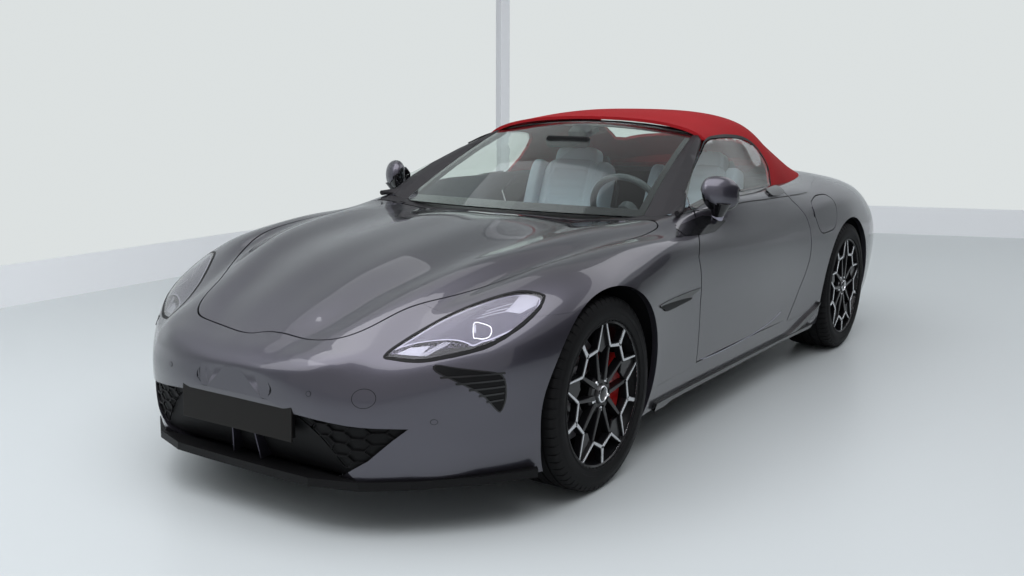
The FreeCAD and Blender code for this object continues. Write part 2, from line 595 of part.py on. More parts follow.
def bonnet():
    """Return the bonnet, its edge set in by the shut gap, with two hinge arms."""
    prism = plan_prism(BONNET_SHARES, -SHUT_GAP, smooth=True).common(slab(NOSE_Y, 0, CORE_HEIGHT, TOP_Z))
    panel = main_solid(skin_of(prism))
    low = BONNET_HINGE - Vector(BONNET_ARM.x / 2, BONNET_ARM.y, BONNET_ARM.z / 2)
    arm = box_between(low, low + BONNET_ARM)
    root_high = low + Vector(BONNET_ARM.x, BONNET_ARM.y / 2, BONNET_ARM.z * 2)
    root = box_between(low, root_high).common(MIDDLE_HULL)
    reach = Vector(BONNET_ARM.x, 0, 0)
    pin = cylinder(BONNET_HINGE - reach, BONNET_HINGE + reach, BONNET_PIN_RADIUS)
    eye = cylinder(BONNET_HINGE - reach / 2, BONNET_HINGE + reach / 2, BONNET_ARM.z / 2)
    hinge = arm.fuse([root, pin, eye])
    return main_solid(panel.fuse([hinge, mirrored(hinge)]))


def bonnet_pockets():
    """Return the rooms that the bonnet's hinge arms swing in, with the bores of their pins."""
    half = BONNET_ARM.x / 2 + SHUT_GAP
    low = BONNET_HINGE - Vector(half, BONNET_ARM.y + SHUT_GAP, BONNET_ARM.z)
    high = BONNET_HINGE + Vector(half, BONNET_ARM.z / 2 + SHUT_GAP, OVERRUN)
    reach = Vector(BONNET_ARM.x + RUNNING_GAP, 0, 0)
    bore = cylinder(BONNET_HINGE - reach, BONNET_HINGE + reach, BONNET_PIN_RADIUS + RUNNING_GAP)
    return both_sides([box_between(low, high), bore])


def boot_hinge():
    """Return the place of the boot lid's left hinge, in the gap in front of the lid."""
    place = BOOT_SHARES[0][1] * HALF_LENGTH
    line = Part.makeLine(Vector(BOOT_HINGE_X, place, CORE_HEIGHT), Vector(BOOT_HINGE_X, place, TOP_Z))
    top = max(vertex.Point.z for vertex in line.common(HULL).Vertexes)
    return Vector(BOOT_HINGE_X, place + BOOT_HINGE_BACK, top - BOOT_HINGE_DROP)


def boot_knuckle():
    """Return the left hinge knuckle of the boot lid, with its pin and the leaf under the lid."""
    centre = boot_hinge()
    half = Vector(BOOT_KNUCKLE_WIDTH / 2, 0, 0)
    eye = cylinder(centre - half, centre + half, BOOT_KNUCKLE_RADIUS)
    low = centre - half - Vector(0, 0, BOOT_KNUCKLE_RADIUS)
    leaf = box_between(low, low + Vector(BOOT_KNUCKLE_WIDTH, BOOT_LEAF_REACH, BOOT_KNUCKLE_RADIUS))
    pin = cylinder(centre - half * 2, centre + half * 2, BOOT_PIN_RADIUS)
    return eye.fuse([leaf, pin])


def boot_pockets():
    """Return the rooms around the boot lid's knuckles and their leaves."""
    centre = boot_hinge()
    half = Vector(BOOT_KNUCKLE_WIDTH / 2 + RUNNING_GAP, 0, 0)
    radius = BOOT_KNUCKLE_RADIUS + SHUT_GAP
    room = cylinder(centre - half, centre + half, radius)
    low = centre - half - Vector(0, 0, radius)
    under = box_between(low, low + Vector(half.x * 2, BOOT_LEAF_REACH + SHUT_GAP, radius * 2 + OVERRUN))
    return both_sides([room, under])


def boot_lugs():
    """Return the lugs on the tonneau that carry the boot lid's pins, beside each knuckle."""
    centre = boot_hinge()
    lugs = []
    for side in (-1, 1):
        inner = centre + Vector(side * (BOOT_KNUCKLE_WIDTH / 2 + RUNNING_GAP), 0, 0)
        outer = centre + Vector(side * BOOT_KNUCKLE_WIDTH, 0, 0)
        eye = cylinder(inner, outer, BOOT_KNUCKLE_RADIUS)
        corner = Vector(min(inner.x, outer.x), centre.y - BOOT_LEAF_REACH, centre.z - BOOT_KNUCKLE_RADIUS)
        far = Vector(max(inner.x, outer.x), centre.y, centre.z + BOOT_KNUCKLE_RADIUS)
        lugs.extend([eye, box_between(corner, far)])
    return both_sides(lugs)


def boot_bores():
    """Return the bores of the boot lid's pins."""
    centre = boot_hinge()
    reach = Vector(BOOT_KNUCKLE_WIDTH + RUNNING_GAP, 0, 0)
    return both_sides([cylinder(centre - reach, centre + reach, BOOT_PIN_RADIUS + RUNNING_GAP)])


def boot_lid():
    """Return the boot lid, with its edge set in by the shut gap."""
    front_y = BOOT_SHARES[0][1] * HALF_LENGTH + BOOT_FRONT_GAP
    prism = plan_prism(BOOT_SHARES, -SHUT_GAP).common(slab(front_y, TAIL_Y, BOOT_EDGE_Z + SHUT_GAP, TOP_Z))
    panel = main_solid(skin_of(prism))
    knuckle = boot_knuckle()
    return main_solid(panel.fuse([knuckle, mirrored(knuckle)]))


def front_bumper():
    """Return the bumper skin from the bonnet edge down to the mouth and back to the arches."""
    upper = slab(NOSE_Y, BUMPER_TOP_Y, 0, TOP_Z)
    lower = slab(BUMPER_TOP_Y, FRONT_AXLE_Y, 0, BUMPER_SHUT_Z)
    skin = skin_of(upper.fuse(lower).removeSplitter())
    cuts = [BONNET_CUT, mouth_prism(), LAMP_BLOCK, mirrored(LAMP_BLOCK)] + ARCH_CUTS
    return main_solid(skin.cut(cuts))


def fender():
    """Return the left front fender, from the bumper to the door."""
    region = slab(BUMPER_TOP_Y, DOOR_FRONT_Y, SILL_TOP_Z, TOP_Z, FENDER_INNER_X)
    region = region.fuse(slab(DOOR_FRONT_Y, SAIL_END_Y, LAMP_LOW_Z, TOP_Z, FENDER_INNER_X))
    region = region.cut(slab(BUMPER_TOP_Y, FRONT_AXLE_Y, 0, BUMPER_SHUT_Z))
    cowl = slab(COWL_Y, 0, 0, TOP_Z, 0, COWL_X).fuse(slab(DOOR_FRONT_Y, 0, 0, TOP_Z, 0, DOOR_INNER_X))
    skin = skin_of(region)
    return main_solid(skin.cut([BONNET_CUT, LAMP_BLOCK, DOOR_OPENING, cowl] + door_arm_room() + ARCH_CUTS))


def headlamp():
    """Return the left headlamp, a lens-faced block in its opening."""
    return main_solid(skin_of(LAMP_BLOCK).cut(BONNET_CUT))


def quarter():
    """Return the left rear quarter, from the door to the tail lamps."""
    region = slab(0, TAIL_Y, SILL_TOP_Z, TOP_Z, 0)
    region = region.cut(slab(REAR_SHUT_Y, TAIL_Y, 0, LAMP_LOW_Z))
    region = region.cut(slab(LAMP_FRONT_Y, TAIL_Y, 0, BOOT_EDGE_Z))
    skin = skin_of(region)
    inside = slab(0, BULKHEAD_Y, 0, TOP_Z, 0, DOOR_INNER_X)
    cuts = [BOOT_CUT, TONNEAU_CUT, DOOR_OPENING, FLAP_CUT, flap_pocket(), inside]
    return main_solid(skin.cut(cuts + ARCH_CUTS))


def tonneau():
    """Return the fixed cover between the roof and the boot lid, with the belt behind the doors."""
    panel = main_solid(skin_of(TONNEAU_CUT).cut(DOOR_CUTS))
    panel = main_solid(panel.cut(boot_pockets())).fuse(boot_lugs())
    return main_solid(panel.cut(boot_bores()))


def rear_bumper():
    """Return the rear bumper skin below the lamps."""
    region = slab(REAR_AXLE_Y, TAIL_Y, DIFFUSER_TOP_Z, LAMP_LOW_Z)
    region = region.cut(slab(REAR_AXLE_Y, REAR_SHUT_Y, SILL_TOP_Z, TOP_Z))
    return main_solid(skin_of(region).cut(ARCH_CUTS))


def rear_diffuser():
    """Return the lower rear panel with its upright fins."""
    region = slab(REAR_AXLE_Y, TAIL_Y, 0, DIFFUSER_TOP_Z)
    region = region.cut(slab(REAR_AXLE_Y, REAR_SHUT_Y, SILL_TOP_Z, TOP_Z))
    return main_solid(skin_of(region).cut(ARCH_CUTS))


def tail_lamps():
    """Return the lamp band across the tail, between the boot lid and the bumper."""
    region = slab(LAMP_FRONT_Y, TAIL_Y, LAMP_LOW_Z, BOOT_EDGE_Z)
    return main_solid(skin_of(region))


def skirt():
    """Return the left sill skirt between the wheels."""
    region = slab(FRONT_AXLE_Y, REAR_AXLE_Y, 0, SILL_TOP_Z, SKIRT_INNER_X)
    return main_solid(skin_of(region).cut(ARCH_CUTS))


def charge_flap():
    """Return the flap over the charge socket, set in by its gap."""
    prism = side_prism(FLAP_SHARES, -FLAP_GAP, start=BELT_X, smooth=True)
    panel = main_solid(prism.common(HULL).cut(drawn_in(HULL, FLAP_WALL)))
    half = flap_axis() * (FLAP_KNUCKLE_LENGTH / 2)
    knuckle = cylinder(FLAP_HINGE - half, FLAP_HINGE + half, FLAP_KNUCKLE_RADIUS)
    pin = flap_pin(0.0)
    leaf = knuckle.copy()
    leaf.translate(Vector(0, FLAP_LEAF_REACH, 0))
    return main_solid(panel.fuse([knuckle, leaf, pin]))


def flap_axis():
    """Return the direction of the flap's hinge line, down and outwards along the flank."""
    tilt = math.radians(FLAP_HINGE_TILT)
    return Vector(math.sin(tilt), 0, -math.cos(tilt))


def flap_pin(gap):
    """Return the flap's pin, held at both ends beyond the room, this much larger all round."""
    top = FLAP_HINGE - flap_axis() * (FLAP_ROOM_UP + FLAP_PIN_HOLD + gap)
    foot = FLAP_HINGE + flap_axis() * (FLAP_ROOM_DOWN + FLAP_PIN_HOLD + gap)
    return cylinder(top, foot, FLAP_PIN_RADIUS + gap)


def flap_pocket():
    """Return the room that the flap's front edge and knuckle turn in, with the bores of its pin."""
    top = FLAP_HINGE - flap_axis() * FLAP_ROOM_UP
    foot = FLAP_HINGE + flap_axis() * FLAP_ROOM_DOWN
    return cylinder(top, foot, FLAP_ROOM_RADIUS).fuse(flap_pin(RUNNING_GAP))


def tub_block():
    """Return the closed body under the skin."""
    return CORE_HULL.cut(slab(NOSE_Y, NOSE_REST_Y, 0, TOP_Z))


def tub_cavities():
    """Return the bay, cabin and boot spaces inside the body."""
    bay = slab(BAY_FRONT_Y, FIREWALL_Y - INNER_WALL, BAY_FLOOR_Z, TOP_Z)
    cabin = slab(FIREWALL_Y, BULKHEAD_Y, FLOOR_Z, TOP_Z, -CABIN_X, CABIN_X)
    boot = slab(BULKHEAD_Y + BULKHEAD_WALL, BOOT_END_Y, BOOT_FLOOR_Z, TOP_Z)
    return [space.common(CAVITY_HULL) for space in (bay, cabin, boot)]


def liners():
    """Return the left liner walls that stay around each wheel space."""
    far = HALF_WIDTH + OVERRUN
    front = wheel_cut(LINER_RADIUS + LINER_WALL, FRONT_AXLE_Y, TYRE_RADIUS, LINER_DEPTH_X - LINER_WALL, far)
    rear = wheel_cut(LINER_RADIUS_REAR + LINER_WALL, REAR_AXLE_Y, TYRE_RADIUS_REAR,
                     LINER_DEPTH_X_REAR - LINER_WALL, far)
    return [front, rear]


def wheel_spaces():
    """Return the left spaces that the wheels turn and steer in."""
    far = HALF_WIDTH + OVERRUN
    front = wheel_cut(LINER_RADIUS, FRONT_AXLE_Y, TYRE_RADIUS, LINER_DEPTH_X, far)
    rear = wheel_cut(LINER_RADIUS_REAR, REAR_AXLE_Y, TYRE_RADIUS_REAR, LINER_DEPTH_X_REAR, far)
    front_low = slab(FRONT_AXLE_Y - LINER_RADIUS, FRONT_AXLE_Y + LINER_RADIUS, 0, TYRE_RADIUS, LINER_DEPTH_X)
    rear_low = slab(REAR_AXLE_Y - LINER_RADIUS_REAR, REAR_AXLE_Y + LINER_RADIUS_REAR, 0, TYRE_RADIUS_REAR,
                    LINER_DEPTH_X_REAR)
    return [front, rear, front_low, rear_low]


def axle_windows():
    """Return the left holes in the liners that the suspension arms pass through."""
    windows = []
    for axle_y in (FRONT_AXLE_Y, REAR_AXLE_Y):
        low_y, high_y = axle_y - ARM_SPREAD, axle_y + ARM_SPREAD
        windows.append(slab(low_y, high_y, ARM_LOW_Z, ARM_HIGH_Z, BAY_SIDE_X, WHEEL_X))
    return windows


def motor_room():
    """Return the room under the boot floor that the rear subframe and motor stand in."""
    reach = MOTOR_SIZE.y / 2 + REST_GAP
    low_y, high_y = REAR_AXLE_Y - reach, REAR_AXLE_Y + reach
    return slab(low_y, high_y, BAY_FLOOR_Z, ARM_HIGH_Z, -BAY_SIDE_X, BAY_SIDE_X)


def chassis_tub():
    """Return the body in white: floor, sills, bulkheads, bay, boot well and wheel housings."""
    bay, cabin, boot = tub_cavities()
    housings = both_sides(liners())
    bay = bay.cut(housings)
    boot = boot.cut(housings)
    cockpit = slab(COWL_Y + COWL_DEPTH, BULKHEAD_Y, CORE_HEIGHT, TOP_Z, -CABIN_X, CABIN_X)
    tub = tub_block().cut([bay, cabin, boot, cockpit, motor_room()])
    bonnet_room = plan_prism(BONNET_SHARES, -FLANGE, smooth=True).common(slab(NOSE_Y, 0, BAY_FLOOR_Z, TOP_Z))
    boot_room = plan_prism(BOOT_SHARES, -FLANGE).common(slab(0, TAIL_Y, BOOT_FLOOR_Z, TOP_Z))
    top_layer = CORE_HULL.cut(CAVITY_HULL)
    rooms = [top_layer.common(room) for room in (bonnet_room, boot_room)]
    lifts = [room.cut(REST_HULL) for room in (BONNET_CUT, BOOT_CUT, FLAP_CUT, mirrored(FLAP_CUT))]
    tub = tub.cut(rooms + lifts + both_sides(wheel_spaces() + axle_windows()) + DOOR_CUTS)
    return main_solid(tub.cut(bonnet_pockets() + boot_pockets() + both_sides([flap_pocket()])))


def screen_point(across, up, depth=0.0):
    """Return a point of the windscreen: across from -1 to 1, up from 0 at the base to 1."""
    middle = SCREEN_BASE + (SCREEN_TOP - SCREEN_BASE) * up
    corner = SCREEN_BASE_CORNER + (SCREEN_TOP_CORNER - SCREEN_BASE_CORNER) * up
    bend = across * across
    point = Vector(corner.x * across, middle.y + (corner.y - middle.y) * bend,
                   middle.z + (corner.z - middle.z) * bend)
    lift = SCREEN_BULGE * 4 * up * (1 - up)
    return point + screen_normal() * (lift - depth)


def screen_normal():
    """Return the outward direction of the windscreen's middle."""
    rise = SCREEN_TOP - SCREEN_BASE
    return Vector(0, -rise.z, rise.y).normalize()


def screen_face(depth, low=0.0, high=1.0, side=1.0):
    """Return the windscreen's face at a depth, over a part of its height and width."""
    rows = []
    for row in range(SCREEN_ROWS):
        up = low + (high - low) * row / (SCREEN_ROWS - 1)
        across = [side * (2 * column / (SCREEN_COLUMNS - 1) - 1) for column in range(SCREEN_COLUMNS)]
        rows.append([screen_point(value, up, depth) for value in across])
    return smooth_surface(rows).toShape()


def windscreen():
    """Return the curved glass of the windscreen."""
    glass = screen_face(0.0).extrude(screen_normal() * -SCREEN_WALL)
    return main_solid(glass.cut(HULL))


def pillar_section(up):
    """Return the closed outline of the left screen pillar at a share of its height."""
    inner = screen_point(1.0, up, SEAT_GAP)
    outer = PILLAR_BASE + (PILLAR_TOP - PILLAR_BASE) * up + PILLAR_BOW * (4 * up * (1 - up))
    middle = (inner + outer) * 0.5 + screen_normal() * SCREEN_WALL
    depth = screen_normal() * -PILLAR_DEPTH
    low_inner = inner + depth
    return polygon([inner, middle, outer, outer + depth * 0.5, (outer + inner) * 0.5 + depth, low_inner])


def header_section(across):
    """Return the closed outline of the header rail at a place across the car."""
    rise = (SCREEN_TOP - SCREEN_BASE).normalize() * SEAT_GAP
    edge = screen_point(across, 1.0, SEAT_GAP) + rise
    lip = screen_point(across, 1.0, SCREEN_WALL + SEAT_GAP) + rise
    under = screen_point(across, HEADER_LOW, SCREEN_WALL + SEAT_GAP)
    back = edge + Vector(0, HEADER_DEPTH, HEADER_DEPTH * HEADER_SLOPE)
    drop = Vector(0, 0, -HEADER_WALL)
    under = Vector(edge.x, under.y, under.z)
    return polygon([edge, back, back + drop, under + drop * HEADER_SLOPE, lip])


def cowl():
    """Return the cowl panel between the bonnet and the windscreen."""
    block = slab(COWL_Y - OVERRUN, COWL_Y + COWL_DEPTH, CORE_HEIGHT, TOP_Z, -COWL_X, COWL_X)
    block = block.cut(plan_prism(BONNET_SHARES, COWL_GAP, smooth=True))
    return main_solid(skin_of(block).cut(bonnet_pockets()))


def windscreen_frame():
    """Return the two pillars with the header and the bosses of the door pins, as one frame."""
    pillar = lofted([pillar_section(up) for up in PILLAR_UPS])
    header = lofted([header_section(place) for place in HEADER_PLACES])
    axis = door_axis()
    start = DOOR_HINGE - axis * (DOOR_PIN_IN + SHUT_GAP * 2)
    bore = cylinder(start, DOOR_HINGE, DOOR_PIN_RADIUS + RUNNING_GAP)
    left = pillar.fuse(door_boss()).cut([CLEAR_HULL, bore])
    return main_solid(header.fuse([left, mirrored(left)]))


def drawn_roof(wall):
    """Return the roof's solid drawn in by a wall."""
    matrix = Matrix()
    matrix.move(Vector(0, 0, -ROOF_PIVOT_Z))
    matrix.scale(Vector(1 - wall / ROOF_HALF_WIDTH, 1 - wall / ROOF_REACH_Y, 1 - wall / ROOF_RISE))
    matrix.move(Vector(0, 0, ROOF_PIVOT_Z))
    return ROOF.transformGeometry(matrix)


def soft_top():
    """Return the closed fabric roof with its rear window cut."""
    shell = ROOF.cut(drawn_roof(ROOF_WALL)).common(slab(FABRIC_FRONT_Y, TAIL_Y, CORE_HEIGHT, TOP_Z))
    glass = side_prism(GLASS_SHARES, ROOF_GAP)
    window = plan_prism(REAR_WINDOW_SHARES)
    return main_solid(shell.cut([glass, mirrored(glass), window, HULL, windscreen_frame()] + DOOR_CUTS))


def rear_window():
    """Return the glass of the roof's rear window."""
    pane = ROOF.cut(drawn_roof(GLASS_WALL)).common(plan_prism(REAR_WINDOW_SHARES, -SEAT_GAP))
    return main_solid(pane.common(slab(0, TAIL_Y, DECK_HEIGHT, TOP_Z + OVERRUN)))


def door_glass():
    """Return the left side window, which stands on the door's belt."""
    pane = ROOF.cut(drawn_roof(GLASS_WALL)).common(side_prism(GLASS_SHARES, -ROOF_GAP, GLASS_INNER_X))
    film = slab(NOSE_Y, TAIL_Y, 0, ROOF_PIVOT_Z + ROOF_GAP, 0, GLASS_BASE_X)
    return main_solid(pane.cut([HULL, film]))


def door():
    """Return the left door, as thick as the real one, with its hinge arm."""
    panel = main_solid(DOOR_SPACE.common(HULL))
    return main_solid(panel.fuse(door_arm()))


def door_axis():
    """Return the direction of the left door's hinge line, outwards and down."""
    tilt = math.radians(DOOR_HINGE_TILT)
    return Vector(math.cos(tilt), 0, -math.sin(tilt))


def door_arm():
    """Return the left door's hinge arm, from the door's front corner to its pin."""
    axis = door_axis()
    eye = cylinder(DOOR_HINGE, DOOR_HINGE + axis * DOOR_PIN_OUT, DOOR_BOSS_RADIUS)
    centre = DOOR_HINGE + axis * (DOOR_PIN_OUT / 2)
    pin = cylinder(DOOR_HINGE - axis * DOOR_PIN_IN, centre, DOOR_PIN_RADIUS)
    route = [DOOR_ARM_FOOT, DOOR_ARM_RISE, DOOR_ARM_BEND, centre]
    runs = [cylinder(start, end, DOOR_ARM_RADIUS) for start, end in zip(route, route[1:])]
    bends = [Part.makeSphere(DOOR_ARM_RADIUS, bend) for bend in route[1:-1]]
    return eye.fuse([pin] + runs + bends)


def door_arm_room():
    """Return the room in the left fender that the door's hinge arm stands in."""
    radius = DOOR_ARM_RADIUS + SHUT_GAP
    rise = cylinder(DOOR_ARM_FOOT, DOOR_ARM_RISE, radius)
    over = cylinder(DOOR_ARM_RISE, DOOR_ARM_BEND, radius)
    return [rise, over, Part.makeSphere(radius, DOOR_ARM_RISE)]


def door_boss():
    """Return the fixed boss of the left door's pin, on its foot beside the screen pillar."""
    axis = door_axis()
    start = DOOR_HINGE - axis * (DOOR_PIN_IN + SHUT_GAP)
    end = DOOR_HINGE - axis * SHUT_GAP
    barrel = cylinder(start, end, DOOR_BOSS_RADIUS)
    centre = (start + end) * 0.5
    foot = box_between(Vector(start.x, centre.y - DOOR_ARM_RADIUS, CORE_HEIGHT),
                       Vector(end.x - DOOR_ARM_RADIUS, centre.y + DOOR_ARM_RADIUS, centre.z))
    stay = cylinder(centre, PILLAR_BASE - Vector(DOOR_ARM_RADIUS, 0, DOOR_ARM_RADIUS), DOOR_ARM_RADIUS)
    return barrel.fuse([foot, stay])


def ellipse_wire(centre, half_y, half_z):
    """Return the upright ellipse across the car around a centre."""
    ellipse = Part.Ellipse(Vector(0, 0, 0), half_z, half_y)
    wire = Part.Wire([ellipse.toShape()])
    wire.Placement = FreeCAD.Placement(centre, Rotation(Vector(0, 0, 1), Vector(1, 0, 0)))
    return wire


def mirror():
    """Return the left mirror: its head and the foot that stands on the door."""
    wires = []
    for x, y, z, depth, height in zip(MIRROR_X, MIRROR_Y, MIRROR_Z, MIRROR_HALF_DEPTH, MIRROR_HALF_HEIGHT):
        wires.append(ellipse_wire(Vector(x, y, z), depth, height))
    head = Part.makeLoft(wires, True, False)
    run = MIRROR_NECK - MIRROR_FOOT
    stalk = Part.makeCone(MIRROR_FOOT_RADIUS, MIRROR_NECK_RADIUS, run.Length, MIRROR_FOOT, run)
    return main_solid(head.fuse(stalk))


def seat():
    """Return the left seat: cushion on its base and a leaning back with its head part."""
    half = SEAT_WIDTH / 2
    left, right = SEAT_X + half, SEAT_X - half
    cushion = box_between(Vector(right, SEAT_FRONT_Y, FLOOR_Z), Vector(left, SEAT_BACK_Y, SEAT_HEIGHT))
    cushion = cushion.makeFillet(SEAT_ROUND, cushion.Edges)
    run = Vector(0, SEAT_TOP_Y - SEAT_BACK_Y, SEAT_TOP_Z - SEAT_HEIGHT)
    foot = Vector(SEAT_X, SEAT_BACK_Y - SEAT_OVERLAP, SEAT_HEIGHT)
    back = Vector(0, SEAT_THICK, -SEAT_LEAN)
    sections = []
    for rise, width in SEAT_BACK_SHARES:
        base = foot + run * rise
        reach = Vector(width * half, 0, 0)
        sections.append(polygon([base - reach, base + reach, base + reach + back, base - reach + back]))
    return main_solid(cushion.fuse(lofted(sections)).cut(slab(NOSE_Y, TAIL_Y, 0, FLOOR_Z)))


def steer_axis():
    """Return the direction of the steering column, up and towards the driver."""
    tilt = math.radians(STEER_TILT)
    return Vector(0, math.cos(tilt), math.sin(tilt))


def dashboard():
    """Return the dashboard across the cabin with its console and the steering column."""
    points = []
    for y, z in DASH_PROFILE_SHARES:
        points.append(Vector(-DASH_HALF_WIDTH, DASH_FRONT_Y + y * DASH_DEPTH, DASH_LOW_Z + z * DASH_HEIGHT))
    dash = Part.Face(polygon(points)).extrude(Vector(2 * DASH_HALF_WIDTH, 0, 0))
    front = DASH_FRONT_Y + CONSOLE_SETBACK
    console = slab(front, CONSOLE_END_Y, FLOOR_Z, CONSOLE_HEIGHT, -CONSOLE_HALF_WIDTH, CONSOLE_HALF_WIDTH)
    tunnel_top = DASH_LOW_Z + HEADER_WALL
    tunnel = slab(FIREWALL_Y, front, FLOOR_Z, tunnel_top, -CONSOLE_HALF_WIDTH, CONSOLE_HALF_WIDTH)
    axis = steer_axis()
    start = STEER_CENTRE - axis * COLUMN_LENGTH
    column = cylinder(start, STEER_CENTRE - axis * STEER_HUB_DEPTH, COLUMN_RADIUS)
    pin = cylinder(start, STEER_CENTRE, STEER_PIN_RADIUS)
    return main_solid(dash.fuse([console, tunnel, column, pin]))


def steering_wheel():
    """Return the steering wheel: a rim, three spokes and a hub on the column's pin."""
    axis = steer_axis()
    rim = Part.makeTorus(STEER_RADIUS, STEER_TUBE, STEER_CENTRE, axis)
    hub_start = STEER_CENTRE - axis * (STEER_HUB_DEPTH - SEAT_GAP)
    hub = cylinder(hub_start, STEER_CENTRE + axis * STEER_TUBE, STEER_HUB_RADIUS)
    middle = STEER_CENTRE - axis * STEER_TUBE
    pieces = [hub]
    for reach in (Vector(1, 0, 0), Vector(-1, 0, 0), axis.cross(Vector(1, 0, 0))):
        pieces.append(cylinder(middle, middle + reach * STEER_RADIUS, STEER_SPOKE_RADIUS))
    bore_end = STEER_CENTRE + axis * RUNNING_GAP
    bore = cylinder(hub_start - axis * STEER_TUBE, bore_end, STEER_PIN_RADIUS + RUNNING_GAP)
    return main_solid(rim.fuse(pieces).cut(bore))


def revolved(shares, radius, width, centre):
    """Return the solid of a closed profile of (radius share, width share) turned about the axle."""
    points = [centre + Vector(w * width, 0, r * radius) for r, w in shares]
    return Part.Face(polygon(points)).revolve(centre, Vector(1, 0, 0), 360)


def tyre(centre, radius, width):
    """Return a tyre around a wheel centre, its beads on the rim."""
    bead = (RIM_RADIUS + SEAT_GAP) / radius
    shares = [(max(reach, bead), place) for reach, place in TYRE_PROFILE_SHARES]
    return revolved(shares, radius, width, centre)


def spoke(centre, width):
    """Return one forked spoke of the left wheel, pointing up."""
    face = centre.x + width * SPOKE_FACE_SHARE
    low = centre.z + SPOKE_ROOT_RADIUS
    high = centre.z + SPOKE_END_RADIUS
    half, tip = SPOKE_WIDTH / 2, SPOKE_TIP_WIDTH / 2
    points = [
        Vector(face, centre.y - half, low), Vector(face, centre.y + half, low),
        Vector(face, centre.y + tip, high), Vector(face, centre.y + tip - half, high),
        Vector(face, centre.y, (low + high * 2) / 3), Vector(face, centre.y - tip + half, high),
        Vector(face, centre.y - tip, high),
    ]
    return Part.Face(polygon(points)).extrude(Vector(-SPOKE_DEPTH, 0, 0))


def along_axle(centre, start_x, end_x, radius):
    """Return the round bar on a wheel's axle line between two places across the car."""
    return cylinder(Vector(start_x, centre.y, centre.z), Vector(end_x, centre.y, centre.z), radius)


def wheel(centre, width):
    """Return the rim with its five forked spokes, hub and brake disc, on the left."""
    rim = revolved(RIM_PROFILE_SHARES, RIM_RADIUS, width, centre)
    face_x = centre.x + width * SPOKE_FACE_SHARE
    disc_x = centre.x + width * DISC_X_SHARE
    pieces = [along_axle(centre, disc_x, face_x, HUB_DISC_RADIUS)]
    pieces.append(along_axle(centre, disc_x, disc_x + DISC_WALL, DISC_RADIUS))
    for turn in range(SPOKE_COUNT):
        blade = spoke(centre, width)
        blade.rotate(centre, Vector(1, 0, 0), turn * 360.0 / SPOKE_COUNT)
        pieces.append(blade)
    bore_end = disc_x + AXLE_LENGTH + RUNNING_GAP
    bore = along_axle(centre, disc_x - DISC_WALL, bore_end, AXLE_RADIUS + RUNNING_GAP)
    return main_solid(rim.fuse(pieces).cut(bore))


def caliper(centre, disc_x):
    """Return the brake caliper behind the axle, with its slot for the disc and its bridge."""
    near = centre.y + CALIPER_REACH
    low, high = centre.z - CALIPER_HEIGHT / 2, centre.z + CALIPER_HEIGHT / 2
    block = slab(near, near + CALIPER_DEPTH, low, high, disc_x - DISC_WALL, disc_x + DISC_WALL * 2)
    far = centre.y + DISC_RADIUS + REST_GAP
    slot_end = disc_x + DISC_WALL + REST_GAP
    slot = slab(centre.y, far, low - REST_GAP, high + REST_GAP, disc_x - REST_GAP, slot_end)
    bridge_low, bridge_high = centre.z - KNUCKLE_HALF, centre.z + KNUCKLE_HALF
    bridge = slab(centre.y, near + REST_GAP, bridge_low, bridge_high, disc_x - DISC_WALL, disc_x - REST_GAP)
    return [block.cut(slot), bridge]


def hub_carrier(centre, width):
    """Return the left hub carrier: axle stub, upright and brake caliper."""
    disc_x = centre.x + width * DISC_X_SHARE
    back = disc_x - RUNNING_GAP
    stub = along_axle(centre, back - KNUCKLE_HALF, disc_x + AXLE_LENGTH, AXLE_RADIUS)
    upright_x = centre.x - STEER_OFFSET
    height = KINGPIN_HALF - ARM_WALL - RUNNING_GAP
    half = Vector(0, KNUCKLE_HALF, height)
    upright = box_between(Vector(upright_x - KNUCKLE_HALF, centre.y, centre.z) - half,
                          Vector(back, centre.y, centre.z) + half)
    middle = Vector(upright_x, centre.y, centre.z)
    reach = Vector(0, 0, KINGPIN_HALF)
    kingpin = cylinder(middle - reach, middle + reach, KINGPIN_RADIUS)
    return main_solid(stub.fuse([upright, kingpin] + caliper(centre, disc_x)))


def arm(centre, z, fit):
    """Return one left wishbone from the subframe to the kingpin, bored for it."""
    pivot = Vector(centre.x - STEER_OFFSET, centre.y, z)
    tip = cylinder(pivot, pivot + Vector(0, 0, ARM_WALL), ARM_EYE_RADIUS)
    inner_x = SUBFRAME_X + KNUCKLE_HALF
    points = [
        Vector(SUBFRAME_X, centre.y - ARM_FOOT, z), Vector(pivot.x, centre.y - ARM_TIP, z),
        Vector(pivot.x, centre.y + ARM_TIP, z), Vector(SUBFRAME_X, centre.y + ARM_FOOT, z),
        Vector(inner_x, centre.y + ARM_CROTCH, z), Vector(pivot.x - ARM_NECK, centre.y, z),
        Vector(inner_x, centre.y - ARM_CROTCH, z),
    ]
    blade = Part.Face(polygon(points)).extrude(Vector(0, 0, ARM_WALL))
    bore = cylinder(pivot - Vector(0, 0, ARM_WALL), pivot + Vector(0, 0, ARM_WALL * 2), KINGPIN_RADIUS + fit)
    return tip.fuse(blade).cut(bore)


